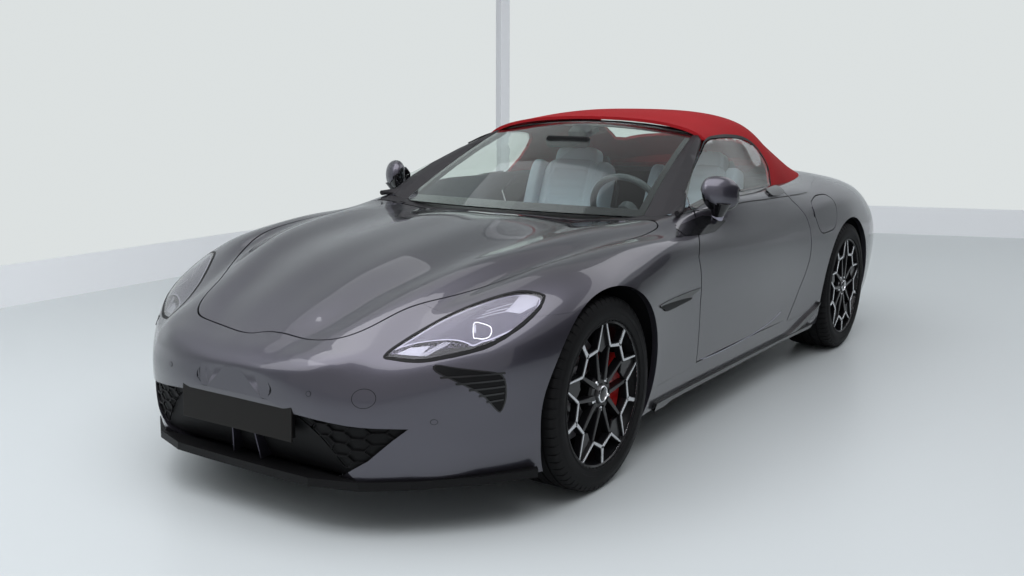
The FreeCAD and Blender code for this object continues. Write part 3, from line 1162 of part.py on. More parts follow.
def axle(centre, fit):
    """Return one axle's subframe with its arms and its motor block, standing on the floor."""
    low = centre.z - KINGPIN_HALF
    high = centre.z + KINGPIN_HALF - ARM_WALL
    floor = BAY_FLOOR_Z + SEAT_GAP
    arms = both_sides([arm(centre, low, fit), arm(centre, high, fit)])
    rail = box_between(Vector(SUBFRAME_X - ARM_WALL, centre.y - ARM_SPREAD, floor),
                       Vector(SUBFRAME_X + ARM_WALL, centre.y + ARM_SPREAD, high + ARM_WALL))
    motor_low = Vector(-MOTOR_SIZE.x / 2, centre.y - MOTOR_SIZE.y / 2, MOTOR_LOW_Z)
    motor = box_between(motor_low, motor_low + MOTOR_SIZE)
    cross = box_between(Vector(-SUBFRAME_X, centre.y - ARM_WALL, floor),
                        Vector(SUBFRAME_X, centre.y + ARM_WALL, MOTOR_LOW_Z + ARM_WALL))
    return main_solid(motor.fuse(arms + [rail, mirrored(rail), cross]))


def mouth_prism():
    """Return the prism along the car over the mouth's outline."""
    return Part.Face(polygon(front_points(MOUTH_SHARES, NOSE_Y))).extrude(Vector(0, OVERRUN * 2, 0))


def front_grille():
    """Return the grille wall that fills the mouth, set back from the bumper."""
    wall = mouth_prism().common(MIDDLE_HULL).cut(INNER_HULL)
    return main_solid(wall.common(slab(NOSE_Y, BUMPER_TOP_Y, SPLITTER_TOP_Z, TOP_Z)))


def front_splitter():
    """Return the thin lip under the bumper."""
    outline = Part.Face(polygon(plan_points(SPLITTER_SHARES)))
    plate = outline.extrude(Vector(0, 0, SPLITTER_TOP_Z - SPLITTER_LOW_Z))
    plate.translate(Vector(0, 0, SPLITTER_LOW_Z))
    return main_solid(plate.cut(skin_of(slab(NOSE_Y, FRONT_AXLE_Y, 0, TOP_Z))))


def export(name, shapes):
    """Write one piece's solids to its own file."""
    shape = shapes[0] if len(shapes) == 1 else Part.makeCompound(shapes)
    shape.exportStep("parts/%s.step" % name)


def export_pair(name, shape):
    """Write a left piece and its mirror image as two files."""
    export(name + "_left", [shape])
    export(name + "_right", [mirrored(shape)])


def build():
    """Make every piece and write its file."""
    front = Vector(WHEEL_X, FRONT_AXLE_Y, TYRE_RADIUS)
    rear = Vector(WHEEL_X_REAR, REAR_AXLE_Y, TYRE_RADIUS_REAR)
    export("chassis_tub", [chassis_tub()])
    export("axles", [axle(front, RUNNING_GAP), axle(rear, 0.0)])
    for name, make in (
            ("bonnet", bonnet), ("boot_lid", boot_lid), ("front_bumper", front_bumper), ("tonneau", tonneau),
            ("rear_bumper", rear_bumper), ("rear_diffuser", rear_diffuser), ("tail_lamps", tail_lamps),
            ("front_grille", front_grille), ("front_splitter", front_splitter),
            ("charge_flap", charge_flap), ("windscreen", windscreen),
            ("soft_top", soft_top), ("rear_window", rear_window), ("dashboard", dashboard),
            ("steering_wheel", steering_wheel)):
        export(name, [make()])
    export("windscreen_frame", [windscreen_frame(), cowl()])
    for name, make in (("fender", fender), ("headlamp", headlamp), ("skirt", skirt), ("door", door),
                       ("door_glass", door_glass), ("mirror", mirror), ("seat", seat)):
        export_pair(name, make())
    flap_side = charge_flap()
    quarter_left = quarter()
    export("quarter_left", [quarter_left])
    export("quarter_right", [main_solid(mirrored(quarter_left).fuse(mirrored(flap_side)))])
    export_pair("tyre_front", tyre(front, TYRE_RADIUS, TYRE_WIDTH))
    export_pair("tyre_rear", tyre(rear, TYRE_RADIUS_REAR, TYRE_WIDTH_REAR))
    export_pair("wheel_front", wheel(front, TYRE_WIDTH))
    export_pair("wheel_rear", wheel(rear, TYRE_WIDTH_REAR))
    export_pair("knuckle", hub_carrier(front, TYRE_WIDTH))
    export("rear_hubs", both_sides([hub_carrier(rear, TYRE_WIDTH_REAR)]))


build()
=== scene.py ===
"""Looks of the roadster convertible: paint, glass, roof cloth, wheels, lamps, cabin and the studio.

Lengths are in metres. X points to the car's left, Y to its tail and Z up. The body's panels take
their smooth shading from one lines plan of sections, the same one that their solids are cut from.
"""
from __future__ import annotations

import json
import logging
import math
from dataclasses import dataclass, field
from enum import Enum

import bmesh
import bpy
import numpy as np
from mathutils import Matrix, Vector
from mathutils.bvhtree import BVHTree

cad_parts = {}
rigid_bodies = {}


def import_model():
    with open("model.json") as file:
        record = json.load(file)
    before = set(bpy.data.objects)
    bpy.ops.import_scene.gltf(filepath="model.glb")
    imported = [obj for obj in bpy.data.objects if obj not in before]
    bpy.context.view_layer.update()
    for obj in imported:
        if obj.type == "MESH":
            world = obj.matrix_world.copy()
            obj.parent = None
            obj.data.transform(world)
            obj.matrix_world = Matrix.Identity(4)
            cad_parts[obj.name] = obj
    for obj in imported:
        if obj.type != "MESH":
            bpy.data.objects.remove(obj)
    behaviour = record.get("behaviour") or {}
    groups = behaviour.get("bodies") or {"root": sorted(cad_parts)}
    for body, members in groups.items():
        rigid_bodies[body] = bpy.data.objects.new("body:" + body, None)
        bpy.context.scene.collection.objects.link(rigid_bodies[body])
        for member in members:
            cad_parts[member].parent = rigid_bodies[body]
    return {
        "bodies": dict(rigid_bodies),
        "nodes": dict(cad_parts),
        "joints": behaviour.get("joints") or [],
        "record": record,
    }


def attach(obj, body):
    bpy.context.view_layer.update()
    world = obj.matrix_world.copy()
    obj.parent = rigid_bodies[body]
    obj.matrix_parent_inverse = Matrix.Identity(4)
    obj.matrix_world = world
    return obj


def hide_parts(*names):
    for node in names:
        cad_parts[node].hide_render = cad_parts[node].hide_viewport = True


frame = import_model()
log = logging.getLogger("roadster")

HALF_LENGTH = 2.2675
HALF_WIDTH = 0.9565
DECK_HEIGHT = 1.0
SPACING_POWER = 0.7
ON_SKIN = 0.0012
GRID_ROWS = 640
GRID_COLUMNS = 360
LONG_EDGE = 0.04
EDGE_ROUND = 0.0011
SHARP_ANGLE = math.radians(32)
MILLI = 0.001
COVER_MARGIN = 16.0

SECTION_SHARES = (
    (-1.0000, (0.136, 0.167, 0.186, 0.186, 0.167, 0.136, 0.105, 0.073, 0.037),
     (0.428, 0.436, 0.450, 0.470, 0.488, 0.500, 0.506, 0.509, 0.510, 0.510)),
    (-0.9958, (0.261, 0.303, 0.326, 0.317, 0.282, 0.230, 0.173, 0.115, 0.058),
     (0.395, 0.412, 0.440, 0.470, 0.510, 0.528, 0.533, 0.534, 0.535, 0.535)),
    (-0.9813, (0.392, 0.423, 0.452, 0.443, 0.395, 0.335, 0.251, 0.167, 0.084),
     (0.300, 0.340, 0.400, 0.468, 0.542, 0.564, 0.568, 0.566, 0.567, 0.567)),
    (-0.9658, (0.481, 0.509, 0.531, 0.521, 0.458, 0.399, 0.301, 0.197, 0.100),
     (0.195, 0.262, 0.370, 0.482, 0.556, 0.583, 0.590, 0.586, 0.588, 0.588)),
    (-0.9482, (0.535, 0.565, 0.589, 0.573, 0.500, 0.444, 0.335, 0.220, 0.115),
     (0.172, 0.240, 0.380, 0.505, 0.576, 0.598, 0.608, 0.604, 0.606, 0.606)),
    (-0.8953, (0.680, 0.713, 0.728, 0.698, 0.562, 0.489, 0.397, 0.277, 0.141),
     (0.165, 0.245, 0.400, 0.565, 0.620, 0.646, 0.666, 0.660, 0.668, 0.667)),
    (-0.8291, (0.797, 0.836, 0.853, 0.826, 0.627, 0.544, 0.450, 0.314, 0.157),
     (0.160, 0.255, 0.420, 0.625, 0.688, 0.700, 0.725, 0.718, 0.730, 0.728)),
    (-0.7585, (0.894, 0.930, 0.944, 0.901, 0.711, 0.612, 0.512, 0.366, 0.170),
     (0.160, 0.275, 0.460, 0.680, 0.752, 0.748, 0.775, 0.768, 0.783, 0.781)),
    (-0.6792, (0.936, 0.972, 0.984, 0.933, 0.768, 0.674, 0.570, 0.408, 0.183),
     (0.165, 0.290, 0.520, 0.735, 0.805, 0.790, 0.820, 0.808, 0.824, 0.823)),
    (-0.6029, (0.946, 0.983, 0.996, 0.949, 0.805, 0.721, 0.617, 0.434, 0.191),
     (0.170, 0.300, 0.570, 0.765, 0.830, 0.818, 0.846, 0.832, 0.850, 0.850)),
    (-0.5072, (0.925, 0.957, 0.988, 0.953, 0.849, 0.763, 0.653, 0.450, 0.199),
     (0.175, 0.300, 0.590, 0.780, 0.846, 0.842, 0.868, 0.856, 0.874, 0.875)),
    (-0.3969, (0.907, 0.936, 0.967, 0.957, 0.894, 0.800, 0.685, 0.460, 0.205),
     (0.178, 0.300, 0.600, 0.790, 0.850, 0.858, 0.882, 0.872, 0.888, 0.890)),
    (-0.2734, (0.899, 0.925, 0.957, 0.957, 0.918, 0.836, 0.721, 0.465, 0.209),
     (0.180, 0.300, 0.590, 0.775, 0.842, 0.893, 0.896, 0.884, 0.890, 0.892)),
    (-0.1103, (0.897, 0.922, 0.957, 0.957, 0.936, 0.901, 0.826, 0.523, 0.240),
     (0.182, 0.300, 0.580, 0.750, 0.828, 0.916, 0.948, 0.950, 0.950, 0.950)),
    (0.0662, (0.897, 0.924, 0.960, 0.957, 0.939, 0.910, 0.833, 0.523, 0.240),
     (0.184, 0.300, 0.580, 0.745, 0.820, 0.914, 0.955, 0.965, 0.965, 0.965)),
    (0.2470, (0.905, 0.933, 0.967, 0.960, 0.944, 0.907, 0.828, 0.523, 0.240),
     (0.186, 0.300, 0.590, 0.760, 0.825, 0.905, 0.955, 0.975, 0.980, 0.980)),
    (0.3969, (0.925, 0.957, 0.983, 0.970, 0.946, 0.889, 0.800, 0.523, 0.240),
     (0.190, 0.300, 0.600, 0.790, 0.850, 0.905, 0.950, 0.985, 0.992, 0.994)),
    (0.4939, (0.941, 0.978, 0.995, 0.978, 0.941, 0.866, 0.753, 0.502, 0.240),
     (0.192, 0.300, 0.600, 0.800, 0.868, 0.920, 0.958, 0.990, 0.998, 1.000)),
    (0.5830, (0.946, 0.985, 1.000, 0.981, 0.925, 0.836, 0.711, 0.470, 0.230),
     (0.195, 0.300, 0.610, 0.800, 0.880, 0.932, 0.965, 0.988, 0.996, 0.998)),
    (0.6792, (0.941, 0.978, 0.995, 0.967, 0.899, 0.800, 0.669, 0.439, 0.220),
     (0.200, 0.300, 0.610, 0.795, 0.880, 0.925, 0.950, 0.970, 0.978, 0.980)),
    (0.7762, (0.920, 0.957, 0.978, 0.939, 0.857, 0.753, 0.627, 0.418, 0.209),
     (0.205, 0.300, 0.600, 0.775, 0.865, 0.905, 0.925, 0.945, 0.954, 0.956)),
    (0.8556, (0.878, 0.920, 0.946, 0.899, 0.805, 0.700, 0.585, 0.397, 0.199),
     (0.215, 0.310, 0.590, 0.750, 0.840, 0.880, 0.903, 0.922, 0.932, 0.935)),
    (0.9173, (0.826, 0.878, 0.907, 0.852, 0.753, 0.648, 0.544, 0.376, 0.188),
     (0.225, 0.320, 0.575, 0.720, 0.810, 0.858, 0.884, 0.905, 0.916, 0.920)),
    (0.9614, (0.763, 0.821, 0.852, 0.789, 0.690, 0.596, 0.502, 0.350, 0.178),
     (0.240, 0.330, 0.560, 0.700, 0.790, 0.840, 0.870, 0.893, 0.905, 0.910)),
    (0.9879, (0.648, 0.700, 0.732, 0.669, 0.585, 0.502, 0.418, 0.293, 0.146),
     (0.260, 0.340, 0.540, 0.680, 0.765, 0.815, 0.848, 0.872, 0.884, 0.888)),
    (1.0000, (0.439, 0.460, 0.470, 0.439, 0.387, 0.335, 0.282, 0.199, 0.099),
     (0.300, 0.360, 0.520, 0.650, 0.730, 0.780, 0.810, 0.830, 0.840, 0.842)),
)
ROOF_SHARES = (
    (-0.2600, (0.846, 0.800, 0.734, 0.662, 0.510, 0.300), (0.925, 0.990, 1.076, 1.165, 1.222, 1.256, 1.268)),
    (-0.1000, (0.844, 0.797, 0.729, 0.654, 0.510, 0.300), (0.928, 0.993, 1.081, 1.174, 1.236, 1.268, 1.280)),
    (0.0300, (0.842, 0.793, 0.721, 0.646, 0.520, 0.312), (0.932, 0.998, 1.090, 1.188, 1.246, 1.278, 1.290)),
    (0.0970, (0.838, 0.791, 0.719, 0.644, 0.530, 0.320), (0.934, 1.002, 1.095, 1.194, 1.253, 1.293, 1.306)),
    (0.1900, (0.836, 0.790, 0.722, 0.650, 0.545, 0.335), (0.936, 1.005, 1.095, 1.190, 1.260, 1.306, 1.320)),
    (0.2820, (0.823, 0.775, 0.714, 0.636, 0.530, 0.335), (0.938, 1.045, 1.130, 1.210, 1.266, 1.307, 1.320)),
    (0.3700, (0.802, 0.740, 0.672, 0.597, 0.502, 0.325), (0.940, 1.035, 1.105, 1.172, 1.234, 1.277, 1.290)),
    (0.4590, (0.768, 0.698, 0.630, 0.549, 0.450, 0.285), (0.945, 1.018, 1.070, 1.124, 1.174, 1.213, 1.224)),
    (0.5290, (0.735, 0.640, 0.548, 0.462, 0.368, 0.222), (0.950, 1.006, 1.040, 1.074, 1.104, 1.128, 1.138)),
    (0.5780, (0.680, 0.560, 0.455, 0.370, 0.275, 0.148), (0.950, 1.002, 1.016, 1.029, 1.040, 1.048, 1.051)),
)
FLAP_SHARES = (
    (0.3520, 0.8610), (0.3960, 0.8810), (0.4410, 0.8830), (0.4665, 0.8720), (0.4790, 0.7420),
    (0.4650, 0.7050), (0.4230, 0.6900), (0.3770, 0.6990), (0.3560, 0.7490), (0.3420, 0.8170),
)


class Finish(Enum):
    """The finishes of the car, by the names of their materials."""

    PAINT = "body_paint"
    GLOSS_BLACK = "gloss_black"
    TRIM = "black_trim"
    UNDERBODY = "sealed_underbody"
    CAST = "cast_metal"
    GLASS = "tinted_glass"
    LENS = "lamp_lens"
    CLOTH = "roof_cloth"
    LEATHER = "pale_leather"
    SOFT_PLASTIC = "dash_plastic"
    RUBBER = "tyre_rubber"
    WHEEL_BLACK = "wheel_black"
    WHEEL_SILVER = "wheel_silver"
    DISC = "brake_disc"
    CALIPER = "caliper_red"
    CHROME = "bright_chrome"
    REFLECTOR = "lamp_reflector"
    RED_LENS = "red_lens"
    PLATE = "plate_black"
    LAMP_DARK = "lamp_dark"
    LAMP_SATIN = "lamp_satin"
    PILLAR = "pillar_grey"
    SIDE_GLASS = "side_glass"
    SATIN_LINE = "satin_line"
    LEATHER_PALE = "light_leather"


def nodes_of(name: str) -> tuple[bpy.types.Material, bpy.types.NodeTree, bpy.types.Node]:
    """Return a new material with its tree and its principled shader.

    Args:
        name: The material's name.

    Returns:
        The material, its node tree and its shader node.
    """
    material = bpy.data.materials.new(name)
    material.use_nodes = True
    tree = material.node_tree
    return material, tree, tree.nodes["Principled BSDF"]


@dataclass(frozen=True)
class PlainFinish:
    """A finish of one colour whose roughness and bump vary finely over the surface."""

    colour: tuple[float, float, float]
    roughness: float
    metallic: float = 0.0
    coat: float = 0.0
    coat_roughness: float = 0.03
    grain_scale: float = 400.0
    grain_bump: float = 0.05
    spread: float = 0.08
    sheen: float = 0.0
    emission: float = 0.0
    specular: float = 0.5

    def build(self, name: str) -> bpy.types.Material:
        """Build the material.

        Args:
            name: The material's name.

        Returns:
            The material.
        """
        material, tree, shader = nodes_of(name)
        shader.inputs["Base Color"].default_value = (*self.colour, 1.0)
        shader.inputs["Metallic"].default_value = self.metallic
        shader.inputs["Coat Weight"].default_value = self.coat
        shader.inputs["Coat Roughness"].default_value = self.coat_roughness
        shader.inputs["Sheen Weight"].default_value = self.sheen
        shader.inputs["Specular IOR Level"].default_value = self.specular
        if self.emission > 0:
            shader.inputs["Emission Color"].default_value = (*self.colour, 1.0)
            shader.inputs["Emission Strength"].default_value = self.emission
        grain = tree.nodes.new("ShaderNodeGroup")
        grain.node_tree = grain_group()
        grain.inputs["Scale"].default_value = self.grain_scale
        grain.inputs["Bump"].default_value = self.grain_bump
        grain.inputs["Roughness"].default_value = self.roughness
        grain.inputs["Spread"].default_value = self.spread
        coords = tree.nodes.new("ShaderNodeTexCoord")
        tree.links.new(coords.outputs["Object"], grain.inputs["Vector"])
        tree.links.new(grain.outputs["Roughness"], shader.inputs["Roughness"])
        tree.links.new(grain.outputs["Normal"], shader.inputs["Normal"])
        return material


def grain_group() -> bpy.types.NodeTree:
    """Return the shared group that varies roughness and bump over a surface."""
    found = bpy.data.node_groups.get("fine_grain")
    if found:
        return found
    group = bpy.data.node_groups.new("fine_grain", "ShaderNodeTree")
    face = group.interface
    face.new_socket("Vector", in_out="INPUT", socket_type="NodeSocketVector")
    for name, value in (("Scale", 400.0), ("Bump", 0.05), ("Roughness", 0.4), ("Spread", 0.08)):
        face.new_socket(name, in_out="INPUT", socket_type="NodeSocketFloat").default_value = value
    face.new_socket("Roughness", in_out="OUTPUT", socket_type="NodeSocketFloat")
    face.new_socket("Normal", in_out="OUTPUT", socket_type="NodeSocketVector")
    start = group.nodes.new("NodeGroupInput")
    end = group.nodes.new("NodeGroupOutput")
    fine = group.nodes.new("ShaderNodeTexNoise")
    fine.inputs["Detail"].default_value = 3.0
    broad = group.nodes.new("ShaderNodeTexNoise")
    broad.inputs["Scale"].default_value = 7.0
    broad.inputs["Detail"].default_value = 4.0
    centred = group.nodes.new("ShaderNodeMath")
    centred.operation = "SUBTRACT"
    centred.inputs[1].default_value = 0.5
    spread = group.nodes.new("ShaderNodeMath")
    spread.operation = "MULTIPLY_ADD"
    bump = group.nodes.new("ShaderNodeBump")
    bump.inputs["Distance"].default_value = 0.0004
    link = group.links.new
    link(start.outputs["Vector"], fine.inputs["Vector"])
    link(start.outputs["Vector"], broad.inputs["Vector"])
    link(start.outputs["Scale"], fine.inputs["Scale"])
    link(broad.outputs["Fac"], centred.inputs[0])
    link(centred.outputs[0], spread.inputs[0])
    link(start.outputs["Spread"], spread.inputs[1])
    link(start.outputs["Roughness"], spread.inputs[2])
    link(start.outputs["Bump"], bump.inputs["Strength"])
    link(fine.outputs["Fac"], bump.inputs["Height"])
    link(spread.outputs[0], end.inputs["Roughness"])
    link(bump.outputs["Normal"], end.inputs["Normal"])
    return group


@dataclass(frozen=True)
class PaintFinish:
    """Metallic paint: dark base, fine flakes, a warm cast at grazing angles and a clear coat."""

    base: tuple[float, float, float]
    flank: tuple[float, float, float]
    roughness: float
    metallic: float
    flake_scale: float
    flake_tilt: float
    coat_roughness: float

    def build(self, name: str) -> bpy.types.Material:
        """Build the material.

        Args:
            name: The material's name.

        Returns:
            The material.
        """
        material, tree, shader = nodes_of(name)
        new, link = tree.nodes.new, tree.links.new
        shader.inputs["Metallic"].default_value = self.metallic
        shader.inputs["Roughness"].default_value = self.roughness
        shader.inputs["Coat Weight"].default_value = 1.0
        shader.inputs["Coat Roughness"].default_value = self.coat_roughness
        shader.inputs["Coat IOR"].default_value = 1.5
        coords = new("ShaderNodeTexCoord")
        flakes = new("ShaderNodeTexVoronoi")
        flakes.inputs["Scale"].default_value = self.flake_scale
        facing = new("ShaderNodeLayerWeight")
        facing.inputs["Blend"].default_value = 0.4
        mix = new("ShaderNodeMix")
        mix.data_type = "RGBA"
        mix.inputs["A"].default_value = (*self.base, 1.0)
        mix.inputs["B"].default_value = (*self.flank, 1.0)
        tilt = new("ShaderNodeBump")
        tilt.inputs["Strength"].default_value = self.flake_tilt
        tilt.inputs["Distance"].default_value = 0.0002
        link(coords.outputs["Object"], flakes.inputs["Vector"])
        link(facing.outputs["Facing"], mix.inputs["Factor"])
        link(mix.outputs["Result"], shader.inputs["Base Color"])
        link(flakes.outputs["Distance"], tilt.inputs["Height"])
        link(tilt.outputs["Normal"], shader.inputs["Normal"])
        return material


@dataclass(frozen=True)
class GlassFinish:
    """Clear tinted glass, which lets lamp light through without bending it."""

    tint: tuple[float, float, float]
    ior: float = 1.45
    roughness: float = 0.0

    def build(self, name: str) -> bpy.types.Material:
        """Build the material.

        Args:
            name: The material's name.

        Returns:
            The material.
        """
        material, tree, shader = nodes_of(name)
        shader.inputs["Base Color"].default_value = (*self.tint, 1.0)
        shader.inputs["Roughness"].default_value = self.roughness
        shader.inputs["IOR"].default_value = self.ior
        shader.inputs["Transmission Weight"].default_value = 1.0
        new, link = tree.nodes.new, tree.links.new
        path, clear = new("ShaderNodeLightPath"), new("ShaderNodeBsdfTransparent")
        mix = new("ShaderNodeMixShader")
        clear.inputs["Color"].default_value = (*self.tint, 1.0)
        link(path.outputs["Is Shadow Ray"], mix.inputs[0])
        link(shader.outputs[0], mix.inputs[1])
        link(clear.outputs[0], mix.inputs[2])
        link(mix.outputs[0], tree.nodes["Material Output"].inputs["Surface"])
        return material


@dataclass(frozen=True)
class ClothFinish:
    """Woven roof cloth: a deep colour with a fine weave, slow shade changes and a soft sheen."""

    colour: tuple[float, float, float]
    dark: tuple[float, float, float]
    weave_scale: float
    weave_bump: float

    def build(self, name: str) -> bpy.types.Material:
        """Build the material.

        Args:
            name: The material's name.

        Returns:
            The material.
        """
        material, tree, shader = nodes_of(name)
        new, link = tree.nodes.new, tree.links.new
        shader.inputs["Roughness"].default_value = 0.85
        shader.inputs["Sheen Weight"].default_value = 0.06
        shader.inputs["Sheen Roughness"].default_value = 0.4
        shader.inputs["Sheen Tint"].default_value = (1.0, 0.55, 0.5, 1.0)
        shader.inputs["Specular IOR Level"].default_value = 0.08
        coords = new("ShaderNodeTexCoord")
        weave = new("ShaderNodeTexWave")
        weave.wave_type = "BANDS"
        weave.bands_direction = "DIAGONAL"
        weave.inputs["Scale"].default_value = self.weave_scale
        weave.inputs["Distortion"].default_value = 2.0
        cloud = new("ShaderNodeTexNoise")
        cloud.inputs["Scale"].default_value = 5.0
        cloud.inputs["Detail"].default_value = 6.0
        mix = new("ShaderNodeMix")
        mix.data_type = "RGBA"
        mix.inputs["A"].default_value = (*self.dark, 1.0)
        mix.inputs["B"].default_value = (*self.colour, 1.0)
        bump = new("ShaderNodeBump")
        bump.inputs["Strength"].default_value = self.weave_bump
        bump.inputs["Distance"].default_value = 0.0004
        link(coords.outputs["Object"], weave.inputs["Vector"])
        link(coords.outputs["Object"], cloud.inputs["Vector"])
        link(cloud.outputs["Fac"], mix.inputs["Factor"])
        link(mix.outputs["Result"], shader.inputs["Base Color"])
        link(weave.outputs["Fac"], bump.inputs["Height"])
        link(bump.outputs["Normal"], shader.inputs["Normal"])
        return material


FINISHES = {
    Finish.PAINT: PaintFinish((0.088, 0.084, 0.106), (0.012, 0.011, 0.014), 0.34, 0.75, 2600.0, 0.25, 0.02),
    Finish.GLOSS_BLACK: PlainFinish((0.005, 0.005, 0.006), 0.12, coat=0.35, grain_bump=0.01, specular=0.4),
    Finish.TRIM: PlainFinish((0.006, 0.006, 0.0065), 0.5, grain_bump=0.12, grain_scale=900.0, specular=0.16),
    Finish.UNDERBODY: PlainFinish((0.008, 0.008, 0.009), 0.8, grain_bump=0.2, grain_scale=250.0,
                                  specular=0.1),
    Finish.CAST: PlainFinish((0.30, 0.30, 0.31), 0.5, metallic=0.9, grain_bump=0.15, grain_scale=300.0),
    Finish.GLASS: GlassFinish((0.88, 0.95, 0.92), ior=1.30),
    Finish.SIDE_GLASS: GlassFinish((0.90, 0.95, 0.93), ior=1.42),
    Finish.LENS: GlassFinish((0.93, 0.93, 0.95), ior=1.30),
    Finish.CLOTH: ClothFinish((0.330, 0.014, 0.018), (0.245, 0.009, 0.012), 420.0, 0.35),
    # Satin metal of the lamp panels' edges and the mirror joints; the same lighter colour also makes the
    # painted highlight along the doors' lower character line.
    Finish.SATIN_LINE: PlainFinish((0.34, 0.33, 0.40), 0.30, metallic=0.9, grain_bump=0.01),
    Finish.LEATHER_PALE: PlainFinish((0.46, 0.53, 0.60), 0.55, grain_bump=0.2, grain_scale=260.0),
    Finish.LEATHER: PlainFinish((0.36, 0.42, 0.48), 0.5, grain_bump=0.18, grain_scale=220.0),
    Finish.SOFT_PLASTIC: PlainFinish((0.030, 0.036, 0.040), 0.6, grain_bump=0.15, grain_scale=500.0),
    Finish.RUBBER: PlainFinish((0.0075, 0.0075, 0.008), 0.6, grain_bump=0.15, grain_scale=260.0, spread=0.12,
                               specular=0.14),
    Finish.WHEEL_BLACK: PlainFinish((0.006, 0.006, 0.007), 0.3, coat=0.25, grain_bump=0.02, specular=0.3),
    Finish.WHEEL_SILVER: PlainFinish((0.62, 0.63, 0.65), 0.22, metallic=1.0, coat=0.5, grain_bump=0.02),
    Finish.DISC: PlainFinish((0.42, 0.42, 0.43), 0.34, metallic=1.0, grain_bump=0.1, grain_scale=500.0),
    Finish.CALIPER: PlainFinish((0.50, 0.012, 0.012), 0.32, coat=0.5, grain_bump=0.05),
    Finish.CHROME: PlainFinish((0.80, 0.81, 0.83), 0.08, metallic=1.0, grain_bump=0.0),
    Finish.REFLECTOR: PlainFinish((0.30, 0.30, 0.34), 0.34, metallic=1.0, grain_bump=0.02),
    Finish.RED_LENS: PlainFinish((0.32, 0.006, 0.008), 0.12, coat=1.0, grain_bump=0.0),
    Finish.LAMP_DARK: PlainFinish((0.010, 0.010, 0.012), 0.35, grain_bump=0.02, specular=0.25),
    Finish.PILLAR: PlainFinish((0.022, 0.021, 0.023), 0.45, metallic=0.3, grain_bump=0.02, specular=0.25),
    Finish.LAMP_SATIN: PlainFinish((0.085, 0.081, 0.105), 0.38, metallic=0.9, grain_bump=0.0),
    Finish.PLATE: PlainFinish((0.012, 0.011, 0.010), 0.42, grain_bump=0.03, specular=0.15),
}


@dataclass
class Palette:
    """The materials of the scene, each built once."""

    made: dict[Finish, bpy.types.Material] = field(default_factory=dict)

    def material(self, finish: Finish) -> bpy.types.Material:
        """Return the material of a finish.

        Args:
            finish: The finish.

        Returns:
            Its material.
        """
        if finish not in self.made:
            self.made[finish] = FINISHES[finish].build(finish.value)
        return self.made[finish]

    def dress(self, obj: bpy.types.Object, finish: Finish, slot: str) -> bpy.types.Object:
        """Give an object one material.

        Args:
            obj: The object.
            finish: Its finish.
            slot: Not used.

        Returns:
            The object.
        """
        obj.data.materials.clear()
        obj.data.materials.append(self.material(finish))
        return obj

    def pair(self, obj: bpy.types.Object, finish: Finish, slot: str, body: str = "root",
             stands_for: str = "") -> None:
        """Dress a left piece, make its mirror image, and let both ride.

        Args:
            obj: The left piece.
            finish: Their finish.
            slot: Their slot.
            body: The body that carries them, with {} where the side's name goes.
            stands_for: The node that they replace, with {} for the side.
        """
        base = obj.name
        twin = copy_of(obj, base + "_right", Matrix.Scale(-1.0, 4, (1.0, 0.0, 0.0)))
        obj.name = base + "_left"
        for side, one in (("left", obj), ("right", twin)):
            self.dress(one, finish, slot)
            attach(one, body.format(side))
            if stands_for:
                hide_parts(stands_for.format(side))

    def single(self, obj: bpy.types.Object, finish: Finish, slot: str, body: str = "root",
               stands_for: str = "") -> None:
        """Dress one piece and let it ride."""
        self.dress(obj, finish, slot)
        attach(obj, body)
        if stands_for:
            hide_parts(stands_for)


def spline_matrices(knots: np.ndarray, places: np.ndarray) -> tuple[np.ndarray, np.ndarray]:
    """Return the matrices that turn points into values and slopes of the curve through them.

    Args:
        knots: Where the points stand along the curve.
        places: Where the curve is wanted.

    Returns:
        One matrix for the values and one for the slopes, each places by points.
    """
    count = len(knots)
    steps = np.diff(knots)
    system = np.zeros((count, count))
    given = np.zeros((count, count))
    for end, group in ((0, range(4)), (count - 1, range(count - 4, count))):
        system[end, end] = 1.0
        for one in group:
            others = [k for k in group if k != one]
            scale = np.prod([knots[one] - knots[k] for k in others])
            slope = sum(
                np.prod([knots[end] - knots[k] for k in others if k != left]) for left in others
            )
            given[end, one] = slope / scale
    for i in range(1, count - 1):
        before, after = steps[i - 1], steps[i]
        system[i, i - 1:i + 2] = (after, 2.0 * (before + after), before)
        given[i, i + 1] += 3.0 * before / after
        given[i, i] += 3.0 * (after / before - before / after)
        given[i, i - 1] -= 3.0 * after / before
    slopes = np.linalg.solve(system, given)
    spans = np.clip(np.searchsorted(knots, places, side="right") - 1, 0, count - 2)
    step = steps[spans]
    t = (places - knots[spans]) / step
    unit = np.eye(count)
    weights = (2 * t**3 - 3 * t**2 + 1, -2 * t**3 + 3 * t**2, t**3 - 2 * t**2 + t, t**3 - t**2)
    rates = (6 * t**2 - 6 * t, -6 * t**2 + 6 * t, 3 * t**2 - 4 * t + 1, 3 * t**2 - 2 * t)

    def blend(parts: tuple[np.ndarray, ...]) -> np.ndarray:
        ends = parts[0][:, None] * unit[spans] + parts[1][:, None] * unit[spans + 1]
        turns = parts[2][:, None] * slopes[spans] + parts[3][:, None] * slopes[spans + 1]
        return ends + turns * step[:, None]

    return blend(weights), blend(rates) / step[:, None]


